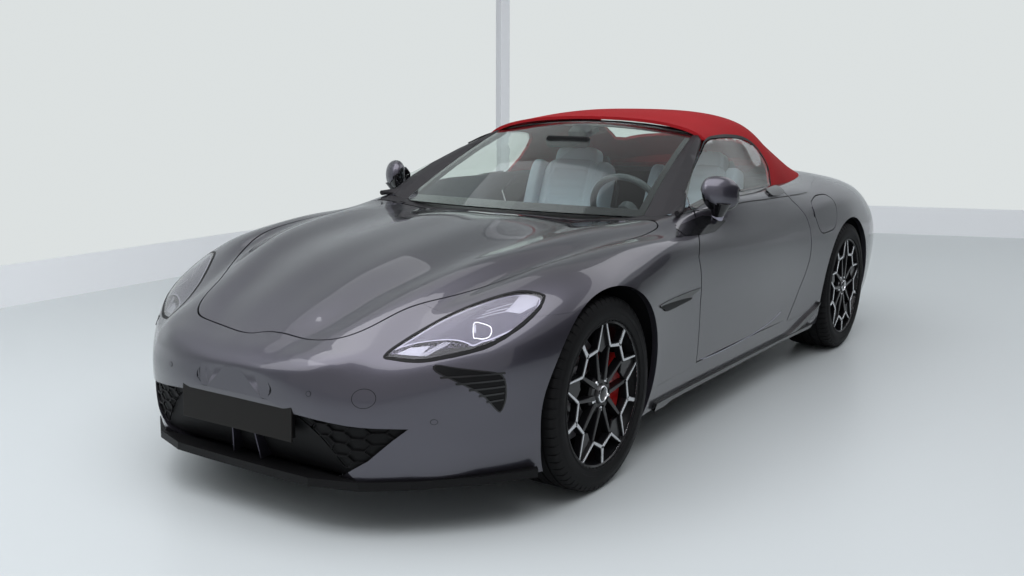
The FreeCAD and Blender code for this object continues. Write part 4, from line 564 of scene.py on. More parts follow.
class SmoothShape:
    """One smooth surface through a table of half sections, with the nearest place to any point."""

    def __init__(self, table: tuple, rows: int = GRID_ROWS, columns: int = GRID_COLUMNS) -> None:
        """Work the surface out on a fine grid.

        Args:
            table: The sections, each its place, its half widths and its heights, as shares.
            rows: How many places along the car.
            columns: How many places across it.
        """
        lines = []
        for place, widths, heights in table:
            left = [(x * HALF_WIDTH, place * HALF_LENGTH, z * DECK_HEIGHT)
                    for x, z in zip(widths + (0,), heights)]
            lines.append(left + [(-x, y, z) for x, y, z in reversed(left[:-1])])
        points = np.array(lines)
        along = self.mean_places(points.transpose(1, 0, 2))
        across = self.mean_places(points)
        self.rows, self.columns = rows, columns
        first, first_rate = spline_matrices(along, self.spread(along, rows))
        second, second_rate = spline_matrices(across, self.spread(across, columns))
        self.grid = np.einsum("ai,ijk,bj->abk", first, points, second)
        lengthwise = np.einsum("ai,ijk,bj->abk", first_rate, points, second)
        crosswise = np.einsum("ai,ijk,bj->abk", first, points, second_rate)
        normals = np.cross(crosswise, lengthwise)
        normals /= np.maximum(np.linalg.norm(normals, axis=2, keepdims=True), 1e-12)
        middle = normals[rows // 2, columns // 2]
        self.normals = normals if middle[2] > 0 else -normals
        flat = self.grid.reshape(-1, 3)
        index = np.arange(rows * columns).reshape(rows, columns)
        quads = np.stack([index[:-1, :-1], index[1:, :-1], index[1:, 1:], index[:-1, 1:]], axis=2)
        self.tree = BVHTree.FromPolygons([Vector(p) for p in flat], quads.reshape(-1, 4).tolist())

    @staticmethod
    def mean_places(lines: np.ndarray) -> np.ndarray:
        """Return the mean places of the points along like lines, from nought to one."""
        runs = np.linalg.norm(np.diff(lines, axis=1), axis=2) ** SPACING_POWER
        sums = np.concatenate([np.zeros((len(lines), 1)), np.cumsum(runs, axis=1)], axis=1)
        return (sums / sums[:, -1:]).mean(axis=0)

    @staticmethod
    def spread(knots: np.ndarray, count: int) -> np.ndarray:
        """Return places that run evenly through the knots' spans."""
        return np.interp(np.linspace(0, len(knots) - 1, count), np.arange(len(knots)), knots)

    def nearest(self, points: np.ndarray) -> tuple[np.ndarray, np.ndarray, np.ndarray]:
        """Find the nearest places of the surface.

        Args:
            points: The points.

        Returns:
            The places, the surface's normals there and the distances.
        """
        spots = np.zeros((len(points), 3))
        faces = np.zeros(len(points), int)
        gaps = np.zeros(len(points))
        for i, point in enumerate(points):
            spot, _, face, gap = self.tree.find_nearest(Vector(point))
            spots[i] = spot
            faces[i] = face
            gaps[i] = gap
        row, column = np.divmod(faces, self.columns - 1)
        origin = self.grid[row, column]
        down = self.grid[row + 1, column] - origin
        side = self.grid[row, column + 1] - origin
        rise = spots - origin
        s = np.clip((rise * down).sum(1) / np.maximum((down**2).sum(1), 1e-12), 0, 1)[:, None]
        t = np.clip((rise * side).sum(1) / np.maximum((side**2).sum(1), 1e-12), 0, 1)[:, None]
        n = self.normals
        mixed = ((1 - s) * ((1 - t) * n[row, column] + t * n[row, column + 1])
                 + s * ((1 - t) * n[row + 1, column] + t * n[row + 1, column + 1]))
        mixed /= np.linalg.norm(mixed, axis=1, keepdims=True)
        return spots, mixed, gaps


@dataclass
class PanelMaker:
    """Makes smooth panels: copies of the solids' meshes that take their shading from a surface."""

    surface: SmoothShape
    palette: Palette
    nodes: dict[str, bpy.types.Object]
    bodies: dict[str, str]

    def panel(self, name: str, finish: Finish, slot: str,
              cutter: bpy.types.Object | None = None) -> bpy.types.Object:
        """Replace one solid of the car by a smooth panel.

        Args:
            name: The solid's node.
            finish: The panel's finish.
            slot: The panel's slot in the record.
            cutter: A solid that is cut from the panel.

        Returns:
            The panel.
        """
        mesh = self.nodes[name].data.copy()
        if cutter:
            mesh = self.cut(mesh, cutter)
        work = bmesh.new()
        work.from_mesh(mesh)
        bmesh.ops.remove_doubles(work, verts=work.verts, dist=2e-5)
        kind = work.faces.layers.int.new("kind")
        self.mark_outer(work, kind)
        self.refine(work, kind)
        edges = [e for e in work.edges
                 if len(e.link_faces) == 2 and e.link_faces[0][kind] != e.link_faces[1][kind]]
        bmesh.ops.bevel(work, geom=edges, offset=EDGE_ROUND, offset_type="OFFSET", segments=2,
                        profile=0.5, affect="EDGES", clamp_overlap=False, material=-1)
        self.finish_normals(work, kind, mesh)
        work.free()
        mesh.materials.clear()
        piece = bpy.data.objects.new(name + "_skin", mesh)
        bpy.context.scene.collection.objects.link(piece)
        self.palette.dress(piece, finish, slot)
        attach(piece, self.bodies[name])
        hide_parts(name)
        return piece

    @staticmethod
    def cut(mesh: bpy.types.Mesh, cutter: bpy.types.Object) -> bpy.types.Mesh:
        """Return a mesh with a solid cut from it."""
        work = bmesh.new()
        work.from_mesh(mesh)
        bmesh.ops.remove_doubles(work, verts=work.verts, dist=2e-5)
        work.to_mesh(mesh)
        work.free()
        block = bpy.data.objects.new("cut_block", mesh)
        bpy.context.scene.collection.objects.link(block)
        apply_modifier(block, "BOOLEAN", operation="DIFFERENCE", solver="EXACT", object=cutter)
        result = block.data.copy()
        bpy.data.objects.remove(block)
        return result

    def mark_outer(self, work: bmesh.types.BMesh, kind: bmesh.types.BMLayerItem) -> None:
        """Mark the faces that lie on the surface and face outwards."""
        work.verts.ensure_lookup_table()
        spots, normals, gaps = self.surface.nearest(np.array([v.co for v in work.verts]))
        work.verts.index_update()
        work.normal_update()
        for face in work.faces:
            outer = all(gaps[v.index] < ON_SKIN for v in face.verts)
            if outer:
                mean = Vector(np.mean([normals[v.index] for v in face.verts], axis=0))
                outer = face.normal.dot(mean) > 0.75
            face[kind] = 1 if outer else 2

    def refine(self, work: bmesh.types.BMesh, kind: bmesh.types.BMLayerItem) -> None:
        """Split the long edges of the outer faces and set all their points on the surface."""
        for _ in range(5):
            edges = {e for f in work.faces if f[kind] == 1 for e in f.edges if e.calc_length() > LONG_EDGE}
            if not edges:
                break
            bmesh.ops.subdivide_edges(work, edges=list(edges), cuts=1, use_grid_fill=False)
            bmesh.ops.triangulate(work, faces=[f for f in work.faces if len(f.verts) > 3])
        outer = list({v for f in work.faces if f[kind] == 1 for v in f.verts})
        spots, _, _ = self.surface.nearest(np.array([v.co for v in outer]))
        for vert, spot in zip(outer, spots):
            vert.co = spot

    def finish_normals(self, work: bmesh.types.BMesh, kind: bmesh.types.BMLayerItem,
                       mesh: bpy.types.Mesh) -> None:
        """Write the mesh with the surface's own normals on its outer faces."""
        work.verts.index_update()
        work.verts.ensure_lookup_table()
        work.normal_update()
        touches = {v.index for f in work.faces if f[kind] == 1 for v in f.verts}
        order = sorted(touches)
        points = np.array([work.verts[i].co for i in order]) if order else np.zeros((0, 3))
        _, normals, _ = self.surface.nearest(points)
        smooth = {i: Vector(n) for i, n in zip(order, normals)}
        turned = []
        for face in work.faces:
            face.smooth = True
            for loop in face.loops:
                vert = loop.vert
                if face[kind] == 1:
                    turned.append(smooth[vert.index])
                elif face[kind] == 2:
                    turned.append(self.side_normal(face, vert, kind))
                elif vert.index in smooth:
                    turned.append(smooth[vert.index])
                else:
                    sides = [f.normal for f in vert.link_faces if f[kind] == 2]
                    turned.append(sum(sides, Vector()) if sides else vert.normal)
        work.to_mesh(mesh)
        mesh.normals_split_custom_set([n.normalized() for n in turned])

    @staticmethod
    def side_normal(face: bmesh.types.BMFace, vert: bmesh.types.BMVert,
                    kind: bmesh.types.BMLayerItem) -> Vector:
        """Return the mean normal of the like faces round a point of a side or inner face."""
        near = [f.normal * f.calc_area() for f in vert.link_faces
                if f[kind] == 2 and f.normal.dot(face.normal) > math.cos(SHARP_ANGLE)]
        return sum(near, Vector()) if near else face.normal


def deselect_all() -> None:
    """Leave no object selected."""
    if bpy.context.object and bpy.context.object.mode != "OBJECT":
        bpy.ops.object.mode_set(mode="OBJECT")
    bpy.ops.object.select_all(action="DESELECT")


def grab(obj: bpy.types.Object) -> bpy.types.Object:
    """Select one object alone and make it the active one."""
    deselect_all()
    obj.select_set(True)
    bpy.context.view_layer.objects.active = obj
    return obj


def new_piece(name: str, points: list, faces: list, edges: list | None = None) -> bpy.types.Object:
    """Make an object from points and faces, and grab it.

    Args:
        name: The object's name.
        points: Its points.
        faces: Its faces, as indices of points.
        edges: Its edges, for a piece without faces.

    Returns:
        The object.
    """
    mesh = bpy.data.meshes.new(name)
    mesh.from_pydata([tuple(p) for p in points], edges or [], faces)
    mesh.update()
    obj = bpy.data.objects.new(name, mesh)
    bpy.context.scene.collection.objects.link(obj)
    return grab(obj)


def tidy_faces(obj: bpy.types.Object, angle: float = SHARP_ANGLE, merge: float = 1e-5) -> bpy.types.Object:
    """Merge doubles, turn the faces outwards and shade smooth below an angle."""
    grab(obj)
    bpy.ops.object.mode_set(mode="EDIT")
    bpy.ops.mesh.select_all(action="SELECT")
    bpy.ops.mesh.remove_doubles(threshold=merge)
    bpy.ops.mesh.normals_make_consistent(inside=False)
    bpy.ops.object.mode_set(mode="OBJECT")
    bpy.ops.object.shade_smooth_by_angle(angle=angle)
    return obj


def apply_modifier(obj: bpy.types.Object, kind: str, **settings: object) -> bpy.types.Object:
    """Add a modifier with these settings and apply it."""
    grab(obj)
    modifier = obj.modifiers.new(kind.lower(), kind)
    for key, value in settings.items():
        setattr(modifier, key, value)
    bpy.ops.object.modifier_apply(modifier=modifier.name)
    return obj


def rounded_edges(obj: bpy.types.Object, width: float, segments: int = 2) -> bpy.types.Object:
    """Round the sharp edges of a piece."""
    return apply_modifier(obj, "BEVEL", width=width, segments=segments, limit_method="ANGLE",
                          angle_limit=math.radians(35), use_clamp_overlap=True, harden_normals=False)


def plate(name: str, outline: list, depth: Vector, round_width: float = 0.0) -> bpy.types.Object:
    """Make a flat outline and extrude it.

    Args:
        name: The object's name.
        outline: The outline's points, in order.
        depth: The way and length of the extrusion.
        round_width: The rounding of its edges, or nought.

    Returns:
        The object.
    """
    obj = new_piece(name, outline, [tuple(range(len(outline)))])
    bpy.ops.object.mode_set(mode="EDIT")
    bpy.ops.mesh.select_all(action="SELECT")
    bpy.ops.mesh.extrude_region_move(TRANSFORM_OT_translate={"value": tuple(depth)})
    bpy.ops.object.mode_set(mode="OBJECT")
    tidy_faces(obj)
    if round_width:
        rounded_edges(obj, round_width)
        tidy_faces(obj)
    return obj


def spun(name: str, profile: list[tuple[float, float]], steps: int = 96,
         angle: float = SHARP_ANGLE) -> bpy.types.Object:
    """Spin a profile round the X axis.

    Args:
        name: The object's name.
        profile: Points as places along X and radii.
        steps: How many steps the turn has.
        angle: The angle below which edges are smooth.

    Returns:
        The object.
    """
    points = [(x, 0.0, radius) for x, radius in profile]
    edges = [(i, i + 1) for i in range(len(points) - 1)]
    obj = new_piece(name, points, [], edges)
    bpy.ops.object.mode_set(mode="EDIT")
    bpy.ops.mesh.select_all(action="SELECT")
    bpy.ops.mesh.spin(steps=steps, angle=math.tau, center=(0, 0, 0), axis=(1, 0, 0))
    bpy.ops.object.mode_set(mode="OBJECT")
    return tidy_faces(obj, angle)


def joined(name: str, pieces: list[bpy.types.Object]) -> bpy.types.Object:
    """Join pieces into one object.

    Args:
        name: The joined object's name.
        pieces: The pieces.

    Returns:
        The joined object.
    """
    deselect_all()
    for piece in pieces:
        piece.select_set(True)
    bpy.context.view_layer.objects.active = pieces[0]
    if len(pieces) > 1:
        bpy.ops.object.join()
    pieces[0].name = name
    return pieces[0]


def copy_of(obj: bpy.types.Object, name: str, matrix: Matrix) -> bpy.types.Object:
    """Return a copy with its own mesh, moved by a matrix.

    Args:
        obj: The object to copy.
        name: The copy's name.
        matrix: How the copy is moved.

    Returns:
        The copy.
    """
    twin = obj.copy()
    twin.data = obj.data.copy()
    twin.name = name
    bpy.context.scene.collection.objects.link(twin)
    twin.data.transform(matrix)
    if matrix.determinant() < 0:
        twin.data.flip_normals()
    return twin


def polar(radius: float, degrees: float, x: float = 0.0) -> Vector:
    """Return a point of a wheel's face from its radius and its angle from the top, rearwards."""
    turn = math.radians(degrees)
    return Vector((x, radius * math.sin(turn), radius * math.cos(turn)))


def strip(points: list[Vector], widths: list[float]) -> list[Vector]:
    """Return the outline of a strip of changing width along points in a plane of one X."""
    sides = []
    for i, point in enumerate(points):
        before, after = points[max(i - 1, 0)], points[min(i + 1, len(points) - 1)]
        way = (after - before).normalized()
        across = Vector((0.0, way.z, -way.y)) * widths[i] / 2
        sides.append((point + across, point - across))
    return [left for left, _ in sides] + [right for _, right in reversed(sides)]


@dataclass
class WheelKit:
    """Makes the four wheels: tyre, rim, spokes, brake disc, caliper and cap."""

    palette: Palette
    tyre_radius: float
    width: float
    rim_radius: float = 0.266
    spokes: int = 5
    pitches: int = 64

    def tyre(self) -> bpy.types.Object:
        """Return the tyre, with its grooves and shoulder cuts, round the origin."""
        half, top = self.width / 2, self.tyre_radius
        groove, deep = 0.0045, 0.0065
        lines = []
        for middle in (0.024 * half / 0.1225, 0.066 * half / 0.1225):
            crown = top - 0.0012 * (middle / half) ** 2
            lines += [(middle - groove - 0.001, crown), (middle - groove, crown - deep),
                      (middle + groove, crown - deep), (middle + groove + 0.001, crown)]
        wall = [
            (0.80, -0.0022), (0.86, -0.0050), (0.905, -0.0100), (0.935, -0.0170), (0.958, -0.0260),
            (0.975, -0.0360), (0.978, -0.0365), (0.990, -0.0440), (1.000, -0.0540), (0.998, -0.0600),
            (0.990, -0.0605), (0.985, -0.0680), (0.972, -0.0750), (0.972, -0.0790), (0.985, -0.0800),
            (0.975, -0.0850), (0.930, -0.0875), (0.885, -0.0905), (0.820, -0.0950),
        ]
        side = [(0.0, top)] + lines + [(half * x, top + drop) for x, drop in wall]
        profile = [(-x, r) for x, r in reversed(side[1:])] + side
        shares = (0.0, 0.80, 0.83, 0.97)
        turns = [(pitch + share) / self.pitches * math.tau
                 for pitch in range(self.pitches) for share in shares]
        points, faces = [], []
        for column, turn in enumerate(turns):
            cut = column % 4 in (2, 3)
            for x, radius in profile:
                share = abs(x) / half
                drop = 0.0045 if cut and 0.62 < share < 0.95 else 0.0
                points.append((x, (radius - drop) * math.sin(turn), (radius - drop) * math.cos(turn)))
        rows, columns = len(profile), len(turns)
        for column in range(columns):
            for row in range(rows - 1):
                near, far = column * rows + row, (column + 1) % columns * rows + row
                faces.append((near, far, far + 1, near + 1))
            faces.append((column * rows + rows - 1, (column + 1) % columns * rows + rows - 1,
                          (column + 1) % columns * rows, column * rows))
        obj = new_piece("tyre", points, faces)
        return tidy_faces(obj, math.radians(38))

    def rim(self, face: float) -> bpy.types.Object:
        """Return the black barrel of the rim."""
        rim, half = self.rim_radius, self.width / 2
        profile = [
            (face + 0.004, rim - 0.003), (face + 0.005, rim - 0.008), (face + 0.001, rim - 0.012),
            (face - 0.010, rim - 0.013), (face - 0.024, rim - 0.020), (face - 0.060, rim - 0.034),
            (face - 0.120, rim - 0.036), (-half * 0.80, rim - 0.026), (-half * 0.86, rim - 0.008),
            (-half * 0.86, rim + 0.002), (-half * 0.80, rim + 0.002), (-half * 0.70, rim - 0.018),
            (face - 0.060, rim - 0.024), (face - 0.026, rim - 0.010), (face - 0.010, rim + 0.001),
            (face + 0.004, rim - 0.003),
        ]
        return spun("rim", profile, 120)

    def fork_lines(self) -> list[tuple[list[Vector], list[float]]]:
        """Return the lines of one silver fork, about the angle 36, with their widths."""
        node, corner, end = (0.197, 36.0), (0.174, 14.8), (0.2545, 3.3)
        stem = [polar(0.2545, 36.0), polar(0.225, 36.0), polar(0.192, 36.0)]
        left = [polar(*node), polar(*corner), polar(*end)]
        right = [polar(node[0], node[1]), polar(corner[0], 72 - corner[1]), polar(end[0], 72 - end[1])]
        return [(stem, [0.0145, 0.0130, 0.0180]), (left, [0.0120, 0.0095, 0.0065]),
                (right, [0.0120, 0.0095, 0.0065])]

    def bar(self, name: str, ends: tuple[Vector, Vector], widths: tuple[float, float], face: float,
            deep: float, round_width: float) -> bpy.types.Object:
        """Return one straight bar of a spoke."""
        outline = [p + Vector((face, 0, 0)) for p in strip(list(ends), list(widths))]
        return plate(name, outline, Vector((-deep, 0, 0)), round_width)

    def spoke_sector(self, face: float) -> tuple[list[bpy.types.Object], list[bpy.types.Object]]:
        """Return the black and the silver bars of one fifth of the wheel."""
        black, silver = [], []
        for points, widths in self.fork_lines():
            for i in range(len(points) - 1):
                ends = (points[i], points[i + 1])
                pair = (widths[i], widths[i + 1])
                wide = (widths[i] + 0.0045, widths[i + 1] + 0.0045)
                black.append(self.bar("fork", ends, wide, face - 0.001, 0.026, 0.0012))
                silver.append(self.bar("blade", ends, pair, face + 0.0012, 0.004, 0.0006))
        for start, end in ((5.2, 17.2), (21.0, 31.0), (41.0, 51.0), (54.8, 66.8)):
            count = 5
            arc = [polar(0.2565, start + (end - start) * i / count) for i in range(count + 1)]
            outline = [p + Vector((face + 0.0012, 0, 0)) for p in strip(arc, [0.0052] * (count + 1))]
            silver.append(plate("arc", outline, Vector((-0.005, 0, 0)), 0.0005))
        for corner in (14.8, 57.2):
            inner = polar(0.050, corner + (9.0 if corner < 36 else -9.0))
            ends = (inner, polar(0.176, corner))
            spoke = self.bar("spoke", ends, (0.020, 0.0125), face - 0.004, 0.034, 0.003)
            black.append(spoke)
        web = [polar(0.150, 0.0), polar(0.176, 13.5), polar(0.256, 2.6), polar(0.256, -2.6),
               polar(0.176, -13.5)]
        black.append(plate("web", [p + Vector((face - 0.010, 0, 0)) for p in web],
                           Vector((-0.014, 0, 0)), 0.003))
        return black, silver

    def spokes_pair(self, face: float) -> tuple[bpy.types.Object, bpy.types.Object]:
        """Return all black spokes as one object and all silver faces as another."""
        black, silver = self.spoke_sector(face)
        black_one, silver_one = joined("spokes", black), joined("faces", silver)
        results = []
        for one in (black_one, silver_one):
            twins = [copy_of(one, one.name, Matrix.Rotation(-math.tau * k / self.spokes, 4, "X"))
                     for k in range(1, self.spokes)]
            results.append(joined(one.name, [one] + twins))
        return results[0], results[1]

    def hub(self, face: float) -> tuple[bpy.types.Object, bpy.types.Object, bpy.types.Object]:
        """Return the hub with nut seats, the cap's ring and the cap."""
        hub = spun("hub", [(face - 0.055, 0.020), (face - 0.055, 0.078), (face - 0.020, 0.074),
                           (face - 0.012, 0.066), (face - 0.012, 0.038), (face - 0.005, 0.034),
                           (face - 0.005, 0.0)], 80)
        nuts = []
        for k in range(5):
            nut = spun("nut", [(-0.016, 0.0105), (0.0, 0.0100), (0.003, 0.0080), (0.003, 0.0)], 6, 0.2)
            place = polar(0.054, 36 + 72 * k, face - 0.010)
            nut.data.transform(Matrix.Translation(place))
            nuts.append(nut)
        nuts = joined("nuts", nuts)
        ring = spun("cap_ring", [(face - 0.006, 0.031), (face - 0.001, 0.031), (face + 0.001, 0.0285),
                                 (face + 0.0005, 0.026), (face - 0.004, 0.0245)], 64)
        cap = spun("cap", [(face - 0.003, 0.0262), (face - 0.0005, 0.020), (face + 0.0008, 0.010),
                           (face + 0.0012, 0.0)], 48, 1.0)
        return hub, joined("nuts_and_ring", [nuts, ring]), cap

    def disc(self, radius: float, place: float) -> bpy.types.Object:
        """Return the vented brake disc with its bell and drilled holes' rings."""
        profile = [
            (place + 0.030, 0.070), (place + 0.030, 0.088), (place + 0.012, 0.098), (place + 0.012, 0.112),
            (place + 0.011, 0.114), (place + 0.012, radius - 0.002), (place + 0.010, radius),
            (place + 0.004, radius), (place + 0.003, radius - 0.012), (place - 0.003, radius - 0.012),
            (place - 0.004, radius), (place - 0.010, radius), (place - 0.012, radius - 0.002),
            (place - 0.012, 0.100), (place - 0.020, 0.090), (place - 0.020, 0.070), (place + 0.030, 0.070),
        ]
        return spun("disc", profile, 96)

    def caliper(self, radius: float, place: float, front: float) -> bpy.types.Object:
        """Return the red caliper behind the axle, astride the disc."""
        arcs = []
        inner, outer = radius - 0.055, radius + 0.028
        ways = [60 + 60 * k / 10 for k in range(11)]
        outline = [polar(outer, way) for way in ways] + [polar(inner, way) for way in reversed(ways)]
        for start, deep in ((front, place + 0.015 - front), (place - 0.016, -0.030)):
            arcs.append(plate("caliper", [p + Vector((start, 0, 0)) for p in outline],
                              Vector((deep, 0, 0)), 0.007))
        for group in (ways[1:4], ways[7:10]):
            ring = [polar(outer - 0.002, way) for way in group] + [polar(radius + 0.003, way)
                                                                  for way in reversed(group)]
            arcs.append(plate("bridge", [p + Vector((place + 0.040, 0, 0)) for p in ring],
                              Vector((-0.080, 0, 0)), 0.003))
        for way in (74, 106):
            piston = spun("piston", [(0.0, 0.0), (0.0, 0.019), (-0.006, 0.022), (-0.012, 0.022)], 32)
            piston.data.transform(Matrix.Translation(polar((inner + outer) / 2, way, front + 0.003)))
            arcs.append(piston)
        return joined("caliper", arcs)

    def build(self, end: str, side: str, centre: Vector, disc_radius: float, carrier: str) -> None:
        """Make one wheel with its tyre and brake.

        Args:
            end: Front or rear.
            side: Left or right.
            centre: The wheel's centre on the left side.
            disc_radius: The brake disc's radius.
            carrier: The body that carries the caliper.
        """
        face = self.width / 2 - 0.013
        place = -0.030
        black, silver = self.spokes_pair(face)
        hub, bright, cap = self.hub(face)
        looks = [
            (self.tyre(), "tyre", Finish.RUBBER, "tyre"),
            (joined("rim", [self.rim(face), black, hub]), "rim", Finish.WHEEL_BLACK, "wheel_metal"),
            (silver, "silver", Finish.WHEEL_SILVER, "wheel_metal"),
            (bright, "nuts", Finish.CHROME, "wheel_metal"),
            (cap, "cap", Finish.GLOSS_BLACK, "black_gloss"),
            (self.disc(disc_radius, place), "disc", Finish.DISC, "cast_metal"),
            (self.caliper(disc_radius, place, face - 0.050), "caliper", Finish.CALIPER, "cast_metal"),
        ]
        body = f"wheel_{end}_{side}"
        flip = -1.0 if side == "right" else 1.0
        move = (Matrix.Translation((centre.x * flip, centre.y, centre.z))
                @ Matrix.Scale(flip, 4, (1.0, 0.0, 0.0)))
        for obj, part, finish, slot in looks:
            obj.data.transform(move)
            if flip < 0:
                obj.data.flip_normals()
            obj.name = f"{part}_{end}_{side}_look"
            self.palette.dress(obj, finish, slot)
            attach(obj, carrier if part == "caliper" else body)
            if part == "tyre":
                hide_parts(f"tyre_{end}_{side}")
            elif part == "rim":
                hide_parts(f"wheel_{end}_{side}")


def between(p0: np.ndarray, p1: np.ndarray, p2: np.ndarray, p3: np.ndarray,
            t: float) -> tuple[float, ...]:
    """Return the place at a share of the smooth span from the second of four points to the third."""
    curve = 2 * p1 + (p2 - p0) * t + (2 * p0 - 5 * p1 + 4 * p2 - p3) * t * t
    return tuple(0.5 * (curve + (3 * p1 - p0 - 3 * p2 + p3) * t**3))


def smooth_loop(points: list[tuple[float, float]], steps: int = 5) -> list[tuple[float, float]]:
    """Return a closed smooth line through the points.

    Args:
        points: The points in order.
        steps: How many points each span gets.

    Returns:
        The denser points.
    """
    count, dense = len(points), []
    for i in range(count):
        p0, p1, p2, p3 = (np.array(points[(i + k - 1) % count], float) for k in range(4))
        for step in range(steps):
            dense.append(between(p0, p1, p2, p3, step / steps))
    return dense


def smooth_line(points: list[tuple[float, float]], steps: int = 6) -> list[tuple[float, float]]:
    """Return an open smooth line through the points."""
    ends = [tuple(2 * np.array(points[0], float) - np.array(points[1], float))]
    tail = [tuple(2 * np.array(points[-1], float) - np.array(points[-2], float))]
    whole = ends + list(points) + tail
    dense = []
    for i in range(len(points) - 1):
        p0, p1, p2, p3 = (np.array(whole[i + k], float) for k in range(4))
        for step in range(steps):
            dense.append(between(p0, p1, p2, p3, step / steps))
    return dense + [tuple(float(v) for v in points[-1])]


def drawn_in_loop(points: list[tuple[float, float]], width: float) -> list[tuple[float, float]]:
    """Return a closed line set in by a width."""
    pts = np.array(points, float)
    area = 0.5 * np.sum(pts[:, 0] * np.roll(pts[:, 1], -1) - np.roll(pts[:, 0], -1) * pts[:, 1])
    way = np.roll(pts, -1, axis=0) - np.roll(pts, 1, axis=0)
    way /= np.maximum(np.linalg.norm(way, axis=1, keepdims=True), 1e-9)
    inward = np.stack([-way[:, 1], way[:, 0]], axis=1) * (1.0 if area > 0 else -1.0)
    return [tuple(p) for p in pts + inward * width]


class View(Enum):
    """The view in which an outline is drawn, by the axis that it is cast along."""

    SIDE = 0
    FRONT = 1
    PLAN = 2


@dataclass(frozen=True)
class Lay:
    """How a thin piece lies on the body: its view, its height over the skin and its thickness."""

    view: View = View.SIDE
    lift: float = 0.0
    wall: float = 0.002
    tail: bool = False


@dataclass
class Draper:
    """Lays thin pieces on the body's smooth surface."""

    surface: SmoothShape
    palette: Palette

    def cast(self, flat: list[tuple[float, float]], lay: Lay) -> tuple[np.ndarray, np.ndarray]:
        """Cast flat points, in millimetres, on the left or front surface.

        Args:
            flat: The points in their view: (y, z), (x, z) or (x, y).
            lay: How the piece lies.

        Returns:
            The points in metres and the surface's normals there.
        """
        spots = []
        for first, second in flat:
            first, second = first * MILLI, second * MILLI
            if lay.view is View.SIDE:
                origin, way = Vector((2.0, first, second)), Vector((-1, 0, 0))
            elif lay.view is View.FRONT:
                side = 1.0 if lay.tail else -1.0
                origin, way = Vector((first, 4.0 * side, second)), Vector((0, -side, 0))
            else:
                origin, way = Vector((first, second, 3.0)), Vector((0, 0, -1))
            spot = self.surface.tree.ray_cast(origin, way)[0]
            if spot is None:
                near = origin + way * (1.1 if lay.view is View.SIDE else 1.8)
                spot = self.surface.tree.find_nearest(near)[0]
            spots.append(spot)
        points, normals, _ = self.surface.nearest(np.array(spots))
        return points, normals

    def solid(self, name: str, flat: list[tuple[float, float]], faces: list[tuple[int, ...]],
              lay: Lay) -> bpy.types.Object:
        """Make a thin solid from flat faces cast on the surface."""
        points, normals = self.cast(flat, lay)
        top = points + normals * lay.lift
        low = points + normals * (lay.lift - lay.wall)
        count = len(flat)
        edges: dict[tuple[int, int], int] = {}
        for face in faces:
            for a, b in zip(face, face[1:] + face[:1]):
                edges[(a, b)] = edges.get((a, b), 0) + 1
        rim = [(a, b) for a, b in edges if (b, a) not in edges]
        a, b, c = (Vector(top[i]) for i in faces[len(faces) // 2][:3])
        ahead = (b - a).cross(c - a).dot(Vector(normals[faces[len(faces) // 2][0]])) > 0
        whole = [tuple(f) if ahead else tuple(reversed(f)) for f in faces]
        whole += [tuple(i + count for i in reversed(f)) for f in whole[:len(faces)]]
        whole += [(b, a, a + count, b + count) if ahead else (a, b, b + count, a + count) for a, b in rim]
        obj = new_piece(name, list(top) + list(low), whole)
        mesh = obj.data
        turned = []
        for index, polygon in enumerate(mesh.polygons):
            polygon.use_smooth = True
            for loop in polygon.loop_indices:
                vert = mesh.loops[loop].vertex_index
                if index < len(faces):
                    turned.append(Vector(normals[vert]))
                elif index < 2 * len(faces):
                    turned.append(-Vector(normals[vert - count]))
                else:
                    turned.append(polygon.normal.copy())
        mesh.normals_split_custom_set(turned)
        return obj

    def patch(self, name: str, outline: list[tuple[float, float]], lay: Lay,
              finest: float = 14.0) -> bpy.types.Object:
        """Make a thin patch that fills an outline.

        Args:
            name: The piece's name.
            outline: The outline in its view, in millimetres.
            lay: How the piece lies.
            finest: The longest edge of its faces, in millimetres.

        Returns:
            The patch.
        """
        work = bmesh.new()
        verts = [work.verts.new((u, v, 0.0)) for u, v in outline]
        work.faces.new(verts)
        bmesh.ops.triangulate(work, faces=work.faces[:], ngon_method="BEAUTY")
        for _ in range(7):
            edges = [e for e in work.edges if e.calc_length() > finest]
            if not edges:
                break
            bmesh.ops.subdivide_edges(work, edges=edges, cuts=1)
            bmesh.ops.triangulate(work, faces=[f for f in work.faces if len(f.verts) > 3])
        work.verts.index_update()
        flat = [(v.co.x, v.co.y) for v in work.verts]
        faces = [tuple(v.index for v in f.verts) for f in work.faces]
        work.free()
        return self.solid(name, flat, faces, lay)

    def band(self, name: str, outline: list[tuple[float, float]], width: float,
             lay: Lay) -> bpy.types.Object:
        """Make a closed band along an outline, of a width inwards, in millimetres."""
        inner = drawn_in_loop(outline, width)
        count = len(outline)
        faces = [(i, (i + 1) % count, (i + 1) % count + count, i + count) for i in range(count)]
        return self.solid(name, list(outline) + inner, faces, lay)

    def ribbon(self, name: str, line: list[tuple[float, float]], width: float,
               lay: Lay) -> bpy.types.Object:
        """Make an open ribbon along a line, of a width, in millimetres."""
        pts = np.array(line, float)
        way = np.gradient(pts, axis=0)
        way /= np.maximum(np.linalg.norm(way, axis=1, keepdims=True), 1e-9)
        across = np.stack([-way[:, 1], way[:, 0]], axis=1) * width / 2
        count = len(line)
        flat = [tuple(p) for p in pts + across] + [tuple(p) for p in pts - across]
        faces = [(i, i + 1, i + 1 + count, i + count) for i in range(count - 1)]
        return self.solid(name, flat, faces, lay)


